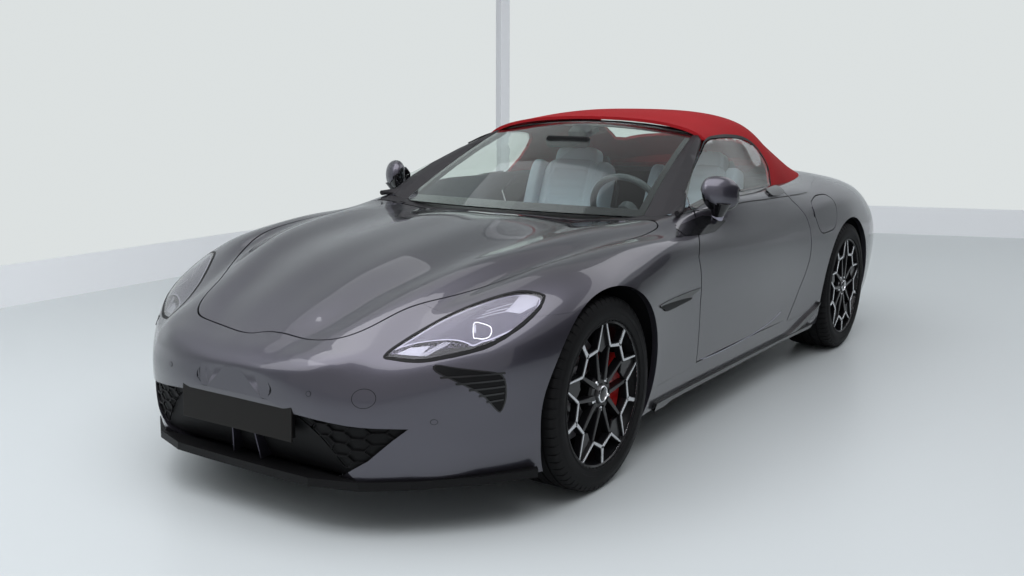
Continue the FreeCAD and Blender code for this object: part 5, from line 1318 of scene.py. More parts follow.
LAMP_OUTLINE = (
    (514, -2105), (532, -2012), (573, -1914), (616, -1841), (670, -1765), (729, -1695), (767, -1666),
    (816, -1645), (828, -1650), (838, -1687), (835, -1748), (820, -1816), (793, -1880), (746, -1944),
    (677, -2011), (618, -2058), (551, -2095),
)
LAMP_PANEL = (
    (518, -2095), (539, -2051), (578, -2008), (642, -1966), (685, -1946), (717, -1937), (737, -1932),
    (756, -1906), (776, -1882), (806, -1830), (825, -1788), (834, -1742), (830, -1693), (818, -1668),
    (788, -1676), (745, -1705), (689, -1765), (630, -1845), (581, -1924), (541, -2023),
)
LAMP_PROJECTOR = (
    (697, -1877), (723, -1912), (735, -1909), (752, -1900), (765, -1883), (764, -1868), (756, -1857),
    (744, -1853), (720, -1857), (699, -1863),
)
LAMP_GUIDE = ((698, -1877), (705, -1872), (722, -1895), (715, -1901))
LAMP_MIRRORS = (
    ((755, -1784), (760, -1755), (760, -1695), (815, -1666), (822, -1700), (800, -1760)),
    ((542, -2076), (566, -2035), (619, -1999), (610, -2042)),
    ((781, -1895), (777, -1883), (803, -1854)),
)
LAMP_STRIPES = (
    ((692, -1851), (755, -1784)), ((698, -1832), (757, -1765)), ((703, -1812), (758, -1742)),
    ((616, -2038), (661, -1965)), ((624, -2034), (669, -1962)), ((608, -2044), (652, -1969)),
)


@dataclass
class Headlamps:
    """Makes the headlamps: dark bowl, satin panel, mirrors, projector, bezel and clear lens."""

    draper: Draper

    def build(self) -> None:
        """Make both headlamps."""
        lay, put = self.draper, self.draper.palette
        outline = smooth_loop(list(LAMP_OUTLINE), 4)

        def deep(lift: float, wall: float) -> Lay:
            return Lay(View.PLAN, lift, wall)

        wide = drawn_in_loop(outline, -5.0)
        put.pair(lay.patch("lamp_bowl", wide, deep(-0.0042, 0.0008)), Finish.LAMP_DARK, "lamp_glass")
        panel = smooth_loop(list(LAMP_PANEL), 3)
        put.pair(lay.patch("lamp_panel", panel, deep(-0.0032, 0.0008)), Finish.LAMP_SATIN, "lamp_glass")
        put.pair(lay.band("lamp_panel_edge", panel, 4.0, deep(-0.0028, 0.0006)), Finish.SATIN_LINE,
                 "lamp_glass")
        put.pair(lay.band("lamp_bezel", outline, 9.0, deep(0.0003, 0.0046)), Finish.TRIM, "black_trim")
        for index, mirror in enumerate(LAMP_MIRRORS):
            piece = lay.patch(f"lamp_mirror_{index}", list(mirror), deep(-0.0024, 0.0006), 20.0)
            put.pair(piece, Finish.REFLECTOR, "lamp_glass")
        for index, stripe in enumerate(LAMP_STRIPES):
            ends = [tuple(np.array(stripe[0], float) * (1 - t) + np.array(stripe[1], float) * t)
                    for t in (0.0, 0.33, 0.66, 1.0)]
            piece = lay.ribbon(f"lamp_stripe_{index}", ends, 3.4, deep(-0.0021, 0.0005))
            put.pair(piece, Finish.REFLECTOR, "lamp_glass")
        eye = smooth_loop(list(LAMP_PROJECTOR), 3)
        put.pair(lay.patch("lamp_eye", eye, deep(-0.0026, 0.0005), 8.0), Finish.LAMP_SATIN, "lamp_glass")
        put.pair(lay.band("lamp_eye_ring", eye, 2.6, deep(-0.0017, 0.0009)), Finish.CHROME, "lamp_glass")
        put.pair(lay.patch("lamp_guide", list(LAMP_GUIDE), deep(-0.0014, 0.0005), 20.0), Finish.REFLECTOR,
                 "lamp_glass")
        put.pair(lay.patch("lamp_lens", outline, deep(-0.0002, 0.0006)), Finish.LENS, "lamp_glass",
                 stands_for="headlamp_{}")


MOUTH_OUTLINE = (
    (0, 432), (120, 434), (237, 430), (330, 418), (434, 402), (540, 388), (621, 376), (640, 366),
    (612, 338), (573, 299), (504, 252), (443, 226), (330, 204), (200, 190), (0, 186),
)


@dataclass
class Nose:
    """Makes the mouth's honeycomb, vanes and plate, the intakes, the tow cover and the sensors."""

    draper: Draper

    def build(self) -> None:
        """Make all the pieces of the nose."""
        self.build_honeycomb()
        self.build_plate()
        self.build_vanes()
        self.build_intakes()
        self.build_covers()

    def inside_mouth(self, x: float, z: float, margin: float) -> bool:
        """Say whether a place of the front view lies in the mouth, clear of its edge."""
        edge = [(abs(u), v) for u, v in MOUTH_OUTLINE]
        for du, dv in ((margin, 0), (-margin, 0), (0, margin), (0, -margin)):
            u, v, inside = abs(x) + du, z + dv, False
            for (u1, v1), (u2, v2) in zip(edge, edge[1:] + edge[:1]):
                if (v1 > v) != (v2 > v) and u < (u2 - u1) * (v - v1) / (v2 - v1) + u1:
                    inside = not inside
            if not inside and u > 0:
                return False
        return True

    def build_honeycomb(self) -> None:
        """Make the honeycomb in front of the dark back of the mouth."""
        wide, high = 40.0, 20.0
        cells = []
        for row in range(-7, 8):
            for column in range(-12, 13):
                x = column * wide * 1.5
                z = 310.0 + row * high * 2 + (high if column % 2 else 0.0)
                if not self.inside_mouth(x, z, 14.0):
                    continue
                cell = [(x + wide * math.cos(math.radians(a)) * 0.98,
                         z + high * 1.155 * math.sin(math.radians(a)) * 0.98)
                        for a in (0, 60, 120, 180, 240, 300)]
                dense = [tuple(np.array(a) * (1 - t) + np.array(b) * t)
                         for a, b in zip(cell, cell[1:] + cell[:1]) for t in (0.0, 0.5)]
                cells.append(self.draper.band("cell", dense, 2.2, Lay(View.FRONT, -0.006, 0.006)))
        self.draper.palette.single(joined("mouth_honeycomb", cells), Finish.TRIM, "black_trim")

    def build_plate(self) -> None:
        """Make the blank plate on its bracket."""
        front, tilt = -2.2670, 0.006
        outline = [(-0.262, 0.300), (0.262, 0.300), (0.262, 0.425), (-0.262, 0.425)]
        points = [Vector((x, front + tilt * (z - 0.300) / 0.125, z)) for x, z in outline]
        board = plate("plate_board", points, Vector((0.0, 0.006, 0.0)), 0.0015)
        self.draper.palette.single(board, Finish.PLATE, "black_trim")
        back = [Vector((x, front + 0.007, z)) for x, z in
                [(-0.250, 0.306), (0.250, 0.306), (0.250, 0.412), (-0.250, 0.412)]]
        bracket = plate("plate_bracket", back, Vector((0.0, 0.026, 0.0)), 0.004)
        self.draper.palette.single(bracket, Finish.TRIM, "black_trim")

    def build_vanes(self) -> None:
        """Make the two upright vanes under the plate."""
        for index, (top, low) in enumerate(((-52.0, -66.0), (52.0, 66.0))):
            outline = [Vector((0.0, -2.236, 0.300)), Vector((0.0, -2.222, 0.196)),
                       Vector((0.0, -2.150, 0.200)), Vector((0.0, -2.170, 0.300))]
            vane = plate(f"mouth_vane_{index}", outline, Vector((0.006, 0.0, 0.0)), 0.0015)
            shear = Matrix.Identity(4)
            shear[0][2] = (top - low) / 104.0
            shear[0][3] = top * MILLI - shear[0][2] * 0.300
            vane.data.transform(shear)
            self.draper.palette.single(vane, Finish.LAMP_SATIN, "black_trim")

    def build_intakes(self) -> None:
        """Make the dark side intakes with their slats."""
        lay, put = self.draper, self.draper.palette
        outline = [(-2032, 566), (-1990, 556), (-1940, 545), (-1900, 534), (-1884, 515), (-1876, 480),
                   (-1874, 435), (-1887, 400), (-1915, 430), (-1948, 470), (-2002, 512), (-2040, 545)]
        dense = smooth_loop(outline, 3)
        put.pair(lay.patch("intake_back", dense, Lay(lift=0.0006, wall=0.003)), Finish.TRIM, "black_trim")
        put.pair(lay.band("intake_edge", dense, 4.0, Lay(lift=0.0016, wall=0.003)), Finish.GLOSS_BLACK,
                 "black_gloss")
        for index, z in enumerate((440, 462, 484, 506, 528)):
            reach = {440: -1928, 462: -1950, 484: -1975, 506: -2005, 528: -2035}[z]
            line = [(reach + (-1882 - reach) * t, z + 4 * t) for t in (0.0, 0.25, 0.5, 0.75, 1.0)]
            put.pair(lay.ribbon(f"intake_slat_{index}", line, 6.0, Lay(lift=0.0026, wall=0.004)),
                     Finish.GLOSS_BLACK, "black_gloss")

    def build_covers(self) -> None:
        """Make the round tow cover's joint and the parking sensors."""
        lay, put = self.draper, self.draper.palette
        ring = [(503 + 34 * math.cos(a), 467 + 31 * math.sin(a)) for a in np.linspace(0, math.tau, 40)[:-1]]
        put.single(lay.band("tow_cover_joint", ring, 1.6, Lay(View.FRONT, 0.0003, 0.002)), Finish.TRIM,
                   "black_trim")
        for index, (x, z) in enumerate(((673, 387), (330, 470))):
            disc = [(x + 9 * math.cos(a), z + 9 * math.sin(a)) for a in np.linspace(0, math.tau, 20)[:-1]]
            piece = lay.patch(f"sensor_{index}", disc, Lay(View.FRONT, 0.0008, 0.002), 20.0)
            put.pair(piece, Finish.PAINT, "body_paint")
            put.pair(lay.band(f"sensor_ring_{index}", disc, 1.2, Lay(View.FRONT, 0.0011, 0.002)),
                     Finish.TRIM, "black_trim")


SCREEN = (
    ((0.0, -745.0, 905.0), (640.0, -590.0, 893.0)),
    ((0.0, 62.0, 1264.0), (545.0, 98.0, 1216.0)),
)
SCREEN_BULGE = 18.0
FENDER_HEEL = (
    (-586, 281), (-542, 281), (-545.4, 300), (-549.2, 320), (-553, 340), (-558.6, 370), (-564.2, 400),
    (-571.6, 440), (-579, 480), (-586, 517),
)
MIRROR_FOOT = (
    (-684, 866), (-631, 877), (-446, 898), (-404, 893), (-287, 864), (-350, 846), (-420, 831), (-562, 834),
    (-684, 841),
)
MIRROR_FOOT_END = ((-757, 845), (-694, 862), (-694, 841), (-720, 841))
BELT_LOW = ((786, -555), (807, -473), (836, -363), (861, -200), (868, -92), (868, 219), (867, 532))
BELT_LOW_REAR = ((866, 556), (862, 690), (855, 829))
BELT_TOP = (
    (721, -480), (768, -411), (809, -304), (830, -160), (838, -16), (830, 180), (810, 357), (797, 500),
)
VENT = ((-1010, 618), (-871, 624), (-640, 625), (-612, 621), (-711, 599), (-718, 592), (-935, 594))
VENT_SLOT = ((-992, 614), (-729, 602), (-709, 590), (-926, 583), (-970, 597))
POD = ((329, 949), (480, 954), (488, 939), (447, 920), (311, 922), (288, 938))
# Side-view line of the painted highlight along the doors' lower character line.
LOW_CREASE_HIGHLIGHT = ((-503, 300), (-442, 292), (-300, 288), (-89, 290), (135, 298), (316, 322), (414, 349))
GLASS_EDGE = (
    (-60, 1143), (29, 1174), (113, 1190), (204, 1193), (340, 1191),
    (476, 1179), (542, 1150), (562, 1100), (551, 1038), (492, 967), (475, 945),
)


@dataclass
class BodyTrim:
    """Makes the mouldings, vents, mirror feet, seals, blades and painted door highlight of the body's sides.
    """

    draper: Draper
    roof: Draper

    def build(self) -> None:
        """Make all the side pieces."""
        lay, put = self.draper, self.draper.palette
        put.pair(lay.patch("fender_heel", list(FENDER_HEEL), Lay(lift=-0.0002, wall=0.012)),
                 Finish.PAINT, "body_paint")
        sill = [(-586, 279), (532, 279), (532, 290), (-540, 290), (-543, 283), (-586, 283)]
        put.pair(lay.patch("sill_cap", sill, Lay(lift=-0.0002, wall=0.012), 40.0), Finish.PAINT, "body_paint")
        put.pair(lay.patch("mirror_foot_plate", list(MIRROR_FOOT), Lay(lift=0.003, wall=0.004)),
                 Finish.GLOSS_BLACK, "black_gloss", "door_{}")
        put.pair(lay.patch("mirror_foot_end", list(MIRROR_FOOT_END), Lay(lift=0.003, wall=0.004)),
                 Finish.GLOSS_BLACK, "black_gloss")
        for name, line, width, body in (("belt_low", BELT_LOW, 2.4, "door_{}"),
                                        ("belt_low_rear", BELT_LOW_REAR, 2.4, "root"),
                                        ("belt_top", BELT_TOP, 6.0, "door_{}")):
            ribbon = lay.ribbon(name, smooth_line(list(line)), width, Lay(View.PLAN, 0.0008, 0.002))
            put.pair(ribbon, Finish.TRIM, "black_trim", body)
        put.pair(lay.patch("side_vent", smooth_loop(list(VENT), 3), Lay(lift=0.004, wall=0.006)),
                 Finish.GLOSS_BLACK, "black_gloss")
        put.pair(lay.patch("side_vent_slot", smooth_loop(list(VENT_SLOT), 3), Lay(lift=0.0046, wall=0.004)),
                 Finish.TRIM, "black_trim")
        put.pair(lay.patch("belt_pod", smooth_loop(list(POD), 3), Lay(lift=0.010, wall=0.012)),
                 Finish.GLOSS_BLACK, "black_gloss", "door_{}")
        # A thin strip of lighter satin metal along the doors' lower character line: a painted highlight where
        # that line would catch the light on the smooth skin.
        crease_highlight = lay.ribbon("door_low_line", smooth_line(list(LOW_CREASE_HIGHLIGHT)), 5.0, Lay(lift=0.0010, wall=0.002))
        put.pair(crease_highlight, Finish.SATIN_LINE, "body_paint", "door_{}")
        self.build_skirt_blades()
        self.build_seals()
        self.build_quarter_cover()

    def build_quarter_cover(self) -> None:
        """Close the recess of the right quarter, which has no flap."""
        outline = [(y * HALF_LENGTH / MILLI, z * DECK_HEIGHT / MILLI) for y, z in FLAP_SHARES]
        grown = drawn_in_loop(smooth_loop(outline, 4), -COVER_MARGIN)
        left = self.draper.patch("quarter_cover", grown, Lay(lift=0.0003, wall=0.006))
        cover = copy_of(left, "quarter_cover_right", Matrix.Scale(-1.0, 4, (1.0, 0.0, 0.0)))
        bpy.data.objects.remove(left)
        self.draper.palette.single(cover, Finish.PAINT, "body_paint")

    def build_skirt_blades(self) -> None:
        """Make the black sill blade and its two fins in front of the rear wheel."""
        lay, put = self.draper, self.draper.palette
        line = [(-930, 196), (-600, 190), (-200, 186), (300, 184), (620, 188), (880, 196)]
        low = lay.ribbon("skirt_blade", smooth_line(line), 30.0, Lay(lift=0.016, wall=0.022))
        put.pair(low, Finish.GLOSS_BLACK, "black_gloss")
        fin = [(560, 196), (651, 222), (777, 268), (880, 300), (915, 322), (900, 296), (800, 240), (640, 198)]
        put.pair(lay.patch("skirt_fin", smooth_loop(fin, 3), Lay(lift=0.014, wall=0.018)),
                 Finish.GLOSS_BLACK, "black_gloss")

    def build_seals(self) -> None:
        """Make the black seals between the side glass and the fabric."""
        line = smooth_line(list(GLASS_EDGE))
        shares = np.linspace(0.0, 1.0, len(line))
        pts = np.array(line)
        way = np.gradient(pts, axis=0)
        way /= np.linalg.norm(way, axis=1, keepdims=True)
        out = np.stack([-way[:, 1], way[:, 0]], axis=1)
        widths = 1.0 + 13.0 * np.sin(np.pi * shares) ** 2
        outer = pts + out * (widths + 3.0)[:, None]
        flat = [tuple(p) for p in pts + out * 1.0] + [tuple(p) for p in outer]
        count = len(line)
        faces = [(i, i + 1, i + 1 + count, i + count) for i in range(count - 1)]
        seal = self.roof.solid("glass_seal", flat, faces, Lay(lift=0.0022, wall=0.006))
        self.roof.palette.pair(seal, Finish.TRIM, "black_trim")


@dataclass
class Mirrors:
    """Makes the mirrors: painted cap, black housing, joint and glass."""

    palette: Palette
    steps: int = 48
    sections: tuple = (
        (822.0, -396.0, 996.0, 20.0, 26.0), (830.0, -392.0, 993.0, 38.0, 50.0),
        (846.0, -384.0, 988.0, 52.0, 67.0), (866.0, -375.0, 984.0, 58.0, 74.0),
        (886.0, -366.0, 982.0, 60.0, 76.0), (908.0, -356.0, 981.0, 56.0, 72.0),
        (928.0, -346.0, 980.0, 48.0, 63.0), (944.0, -333.0, 979.0, 35.0, 46.0),
        (953.0, -322.0, 979.0, 18.0, 24.0),
    )

    def ring(self, section: tuple[float, ...], grow: float) -> list[Vector]:
        """Return one ring of the head, flat at the back where the glass is."""
        x, y, z, depth, height = section
        ring = []
        for step in range(self.steps):
            turn = math.tau * step / self.steps
            ahead, up = -math.cos(turn), math.sin(turn)
            reach = depth * (0.72 if ahead > 0 else 1.0) + grow
            lean = -0.10 * height * up
            ring.append(Vector((x, y + ahead * reach + lean, z + up * (height + grow))) * MILLI)
        return ring

    def head(self, name: str, grow: float, low: float, high: float) -> bpy.types.Object:
        """Make the head, or a shell over a part of it given by angles from straight ahead."""
        rings = [self.ring(section, grow) for section in self.sections]
        points = [point for ring in rings for point in ring]
        faces = []
        whole = high - low >= 360
        for row in range(len(rings) - 1):
            share = row / (len(rings) - 2)
            start = low + 70.0 * (1 - share)
            for step in range(self.steps):
                turn = (step + 0.5) * 360.0 / self.steps
                turn = turn - 360.0 if turn > 200 else turn
                if whole or start < turn < high:
                    after = (step + 1) % self.steps
                    a, b = row * self.steps, (row + 1) * self.steps
                    faces.append((a + step, a + after, b + after, b + step))
        if whole:
            faces.append(tuple(range(self.steps)))
            faces.append(tuple(range((len(rings) - 1) * self.steps, len(rings) * self.steps)))
        obj = new_piece(name, points, faces)
        if not whole:
            apply_modifier(obj, "SOLIDIFY", thickness=0.004, offset=-1.0)
        tidy_faces(obj, math.radians(50))
        apply_modifier(obj, "SUBSURF", levels=1, render_levels=1)
        return tidy_faces(obj, math.radians(60))

    def build(self) -> None:
        """Make both mirrors."""
        housing = self.head("mirror_housing", 0.0, -180.0, 180.0)
        cap = self.head("mirror_cap", 2.2, -62.0, 150.0)
        foot, neck = Vector((872.0, -360.0, 886.0)) * MILLI, Vector((900.0, -364.0, 930.0)) * MILLI
        stalk = self.bar("mirror_stalk", foot, Vector((0.894, -0.372, 0.962)), (0.022, 0.050))
        joint = self.bar("mirror_joint", foot, foot.lerp(neck, 0.35), (0.0270, 0.0235))
        glass = plate("mirror_glass", [
            Vector((x, -0.308 + 0.10 * (x - 0.88), z)) for x, z in
            [(0.842, 1.000), (0.870, 1.026), (0.905, 1.028), (0.932, 1.006), (0.938, 0.980), (0.925, 0.950),
             (0.895, 0.930), (0.862, 0.934), (0.844, 0.962)]], Vector((0.0, 0.004, 0.0)), 0.001)
        put = self.palette
        put.pair(housing, Finish.GLOSS_BLACK, "black_gloss", "door_{}", "mirror_{}")
        put.pair(cap, Finish.PAINT, "body_paint", "door_{}")
        put.pair(stalk, Finish.GLOSS_BLACK, "black_gloss", "door_{}")
        put.pair(joint, Finish.SATIN_LINE, "black_gloss", "door_{}")
        put.pair(glass, Finish.CHROME, "window_glass", "door_{}")

    @staticmethod
    def bar(name: str, start: Vector, end: Vector, radii: tuple[float, float]) -> bpy.types.Object:
        """Make a round bar that narrows from one end to the other."""
        deselect_all()
        way = end - start
        bpy.ops.mesh.primitive_cone_add(vertices=32, radius1=radii[0], radius2=radii[1], depth=way.length)
        obj = bpy.context.object
        obj.name = name
        turn = way.to_track_quat("Z", "Y").to_matrix().to_4x4()
        obj.data.transform(Matrix.Translation((start + end) / 2) @ turn)
        return rounded_edges(obj, 0.002)


@dataclass
class Glazing:
    """Makes the windscreen's black printed edge, its sensor box and the inner mirror."""

    palette: Palette
    low_share: float = 0.075
    top_share: float = 0.955
    side_share: float = 0.952
    mirror_half: tuple = ((0.11, 1.200), (0.122, 1.185), (0.116, 1.150), (0.09, 1.142))

    @staticmethod
    def point(across: float, up: float, depth: float) -> Vector:
        """Return a place of the windscreen, in metres, at a depth in millimetres under its face."""
        (mid_low, corner_low), (mid_top, corner_top) = SCREEN
        middle = Vector(mid_low).lerp(Vector(mid_top), up)
        corner = Vector(corner_low).lerp(Vector(corner_top), up)
        bend = across * across
        spot = Vector((corner.x * across, middle.y + (corner.y - middle.y) * bend,
                       middle.z + (corner.z - middle.z) * bend))
        rise = Vector(mid_top) - Vector(mid_low)
        normal = Vector((0.0, -rise.z, rise.y)).normalized()
        return (spot + normal * (SCREEN_BULGE * 4 * up * (1 - up) - depth)) * MILLI

    def strip(self, name: str, low: tuple[float, float], high: tuple[float, float],
              depth: float = 6.4) -> bpy.types.Object:
        """Make a printed strip between two corners of the windscreen's shares."""
        across_steps = max(2, int(abs(high[0] - low[0]) * 24))
        up_steps = max(2, int(abs(high[1] - low[1]) * 24))
        points, faces = [], []
        for layer in (depth, depth + 1.0):
            for row in range(up_steps + 1):
                for column in range(across_steps + 1):
                    across = low[0] + (high[0] - low[0]) * column / across_steps
                    up = low[1] + (high[1] - low[1]) * row / up_steps
                    points.append(self.point(across, up, layer))
        wide = across_steps + 1
        half = wide * (up_steps + 1)
        for row in range(up_steps):
            for column in range(across_steps):
                a = row * wide + column
                faces.append((a, a + 1, a + 1 + wide, a + wide))
                faces.append((half + a, half + a + wide, half + a + 1 + wide, half + a + 1))
        edge = list(range(wide)) + [r * wide + wide - 1 for r in range(1, up_steps + 1)]
        edge += [up_steps * wide + c for c in range(wide - 2, -1, -1)]
        edge += [r * wide for r in range(up_steps - 1, 0, -1)]
        for a, b in zip(edge, edge[1:] + edge[:1]):
            faces.append((a, b, b + half, a + half))
        obj = new_piece(name, points, faces)
        return tidy_faces(obj)

    def build(self) -> None:
        """Make the printed edge, the box behind the glass and the inner mirror."""
        low, top, side = self.low_share, self.top_share, self.side_share
        strips = [self.strip("frit_low", (-1.0, 0.0), (1.0, low)),
                  self.strip("frit_top", (-1.0, top), (1.0, 1.0)),
                  self.strip("frit_left", (side, low), (1.0, top)),
                  self.strip("frit_right", (-1.0, low), (-side, top))]
        frit = joined("windscreen_print", strips)
        put = self.palette
        put.single(frit, Finish.GLOSS_BLACK, "black_gloss")
        box = [self.point(a, u, 8.0) for a, u in ((-0.13, top), (0.13, top), (0.10, 0.86), (-0.10, 0.86))]
        rise = Vector(SCREEN[1][0]) - Vector(SCREEN[0][0])
        inward = Vector((0.0, rise.z, -rise.y)).normalized()
        put.single(plate("sensor_box", box, inward * 0.03, 0.004), Finish.TRIM, "black_trim")
        first, *rest = self.mirror_half
        flat = [(-first[0], first[1]), *self.mirror_half, *[(-x, z) for x, z in reversed(rest)]]
        outline = [Vector((x, -0.150, z)) for x, z in flat]
        mirror = plate("inner_mirror", outline, Vector((0.0, 0.022, 0.0)), 0.006)
        put.single(mirror, Finish.TRIM, "black_trim")


@dataclass
class Cabin:
    """Makes the padded seats with their shells and bases."""

    palette: Palette

    def pad(self, name: str, size: tuple[float, float, float], place: Matrix, channels: int = 0,
            crown: float = 0.12) -> bpy.types.Object:
        """Make a crowned pad with sewn channels.

        Args:
            name: Its name.
            size: Its full sizes before the turn.
            place: Where it stands and how it is turned.
            channels: How many sewn channels its top has.
            crown: How far its broad faces bulge, as a share of its thickness.

        Returns:
            The pad.
        """
        deselect_all()
        bpy.ops.mesh.primitive_cube_add(size=2.0)
        obj = bpy.context.object
        obj.name = name
        apply_modifier(obj, "SUBSURF", subdivision_type="SIMPLE", levels=5, render_levels=5)
        count = len(obj.data.vertices)
        co = np.empty(count * 3)
        obj.data.vertices.foreach_get("co", co)
        co = co.reshape(-1, 3)
        power = 5.0
        length = (np.abs(co) ** power).sum(axis=1) ** (1 / power)
        shape = co / length[:, None]
        bulge = 1.0 + crown * (1 - shape[:, 0] ** 2) * (1 - shape[:, 1] ** 2)
        shape[:, 2] *= bulge
        if channels:
            wave = np.abs(np.sin(np.clip(shape[:, 1], -0.86, 0.86) / 0.86 * math.pi / 2 * channels))
            groove = np.exp(-(wave / 0.22) ** 2) * (np.abs(shape[:, 0]) < 0.62) * (np.abs(shape[:, 1]) < 0.9)
            shape[:, 2] -= np.sign(shape[:, 2]) * groove * 0.10
            rim = np.exp(-((np.abs(shape[:, 0]) - 0.64) / 0.035) ** 2) * (np.abs(shape[:, 1]) < 0.92)
            shape[:, 2] -= np.sign(shape[:, 2]) * rim * 0.14
        shape *= np.array(size) / 2
        obj.data.vertices.foreach_set("co", shape.reshape(-1))
        obj.data.transform(place)
        obj.data.update()
        return tidy_faces(obj, math.radians(60))

    def seat(self, side: str, x: float) -> None:
        """Make one seat's cushion, bolsters, back and head pad."""
        def at(y: float, z: float, lean: float, shift: float = 0.0) -> Matrix:
            return Matrix.Translation((x + shift, y, z)) @ Matrix.Rotation(math.radians(lean), 4, "X")
        lean = 69.0
        pieces = [
            ("cushion", (0.40, 0.46, 0.15), at(0.170, 0.520, 6.0), 7, Finish.LEATHER_PALE),
            ("bolster_in", (0.085, 0.46, 0.15), at(0.170, 0.545, 6.0, -0.215), 0, Finish.LEATHER),
            ("bolster_out", (0.085, 0.46, 0.15), at(0.170, 0.545, 6.0, 0.215), 0, Finish.LEATHER),
            ("back", (0.36, 0.50, 0.115), at(0.485, 0.800, lean), 9, Finish.LEATHER_PALE),
            ("back_in", (0.080, 0.50, 0.140), at(0.462, 0.790, lean, -0.205), 0, Finish.LEATHER),
            ("back_out", (0.080, 0.50, 0.140), at(0.462, 0.790, lean, 0.205), 0, Finish.LEATHER),
            ("head", (0.27, 0.19, 0.105), at(0.592, 1.010, lean + 4.0), 0, Finish.LEATHER_PALE),
        ]
        for index, (name, size, place, channels, finish) in enumerate(pieces):
            piece = self.pad(f"seat_{name}_{side}", size, place, channels)
            self.palette.dress(piece, finish, "cabin_leather")
            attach(piece, "root")
            if index == 0:
                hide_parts(f"seat_{side}")
        shell = plate(f"seat_shell_{side}", [
            Vector((x + dx, y, z)) for dx, y, z in
            ((-0.20, 0.600, 0.40), (0.20, 0.600, 0.40), (0.215, 0.655, 0.90),
             (0.13, 0.690, 1.06), (-0.13, 0.690, 1.06), (-0.215, 0.655, 0.90))],
            Vector((0.0, 0.02, -0.01)), 0.008)
        self.palette.single(shell, Finish.SOFT_PLASTIC, "cabin_plastic")
        base = plate(f"seat_base_{side}", [
            Vector((x + dx, y, 0.292)) for dx, y in
            ((-0.20, -0.02), (0.20, -0.02), (0.20, 0.46), (-0.20, 0.46))], Vector((0.0, 0.0, 0.16)), 0.01)
        self.palette.single(base, Finish.SOFT_PLASTIC, "cabin_plastic")

    def build(self) -> None:
        """Make both seats."""
        self.seat("left", 0.370)
        self.seat("right", -0.370)


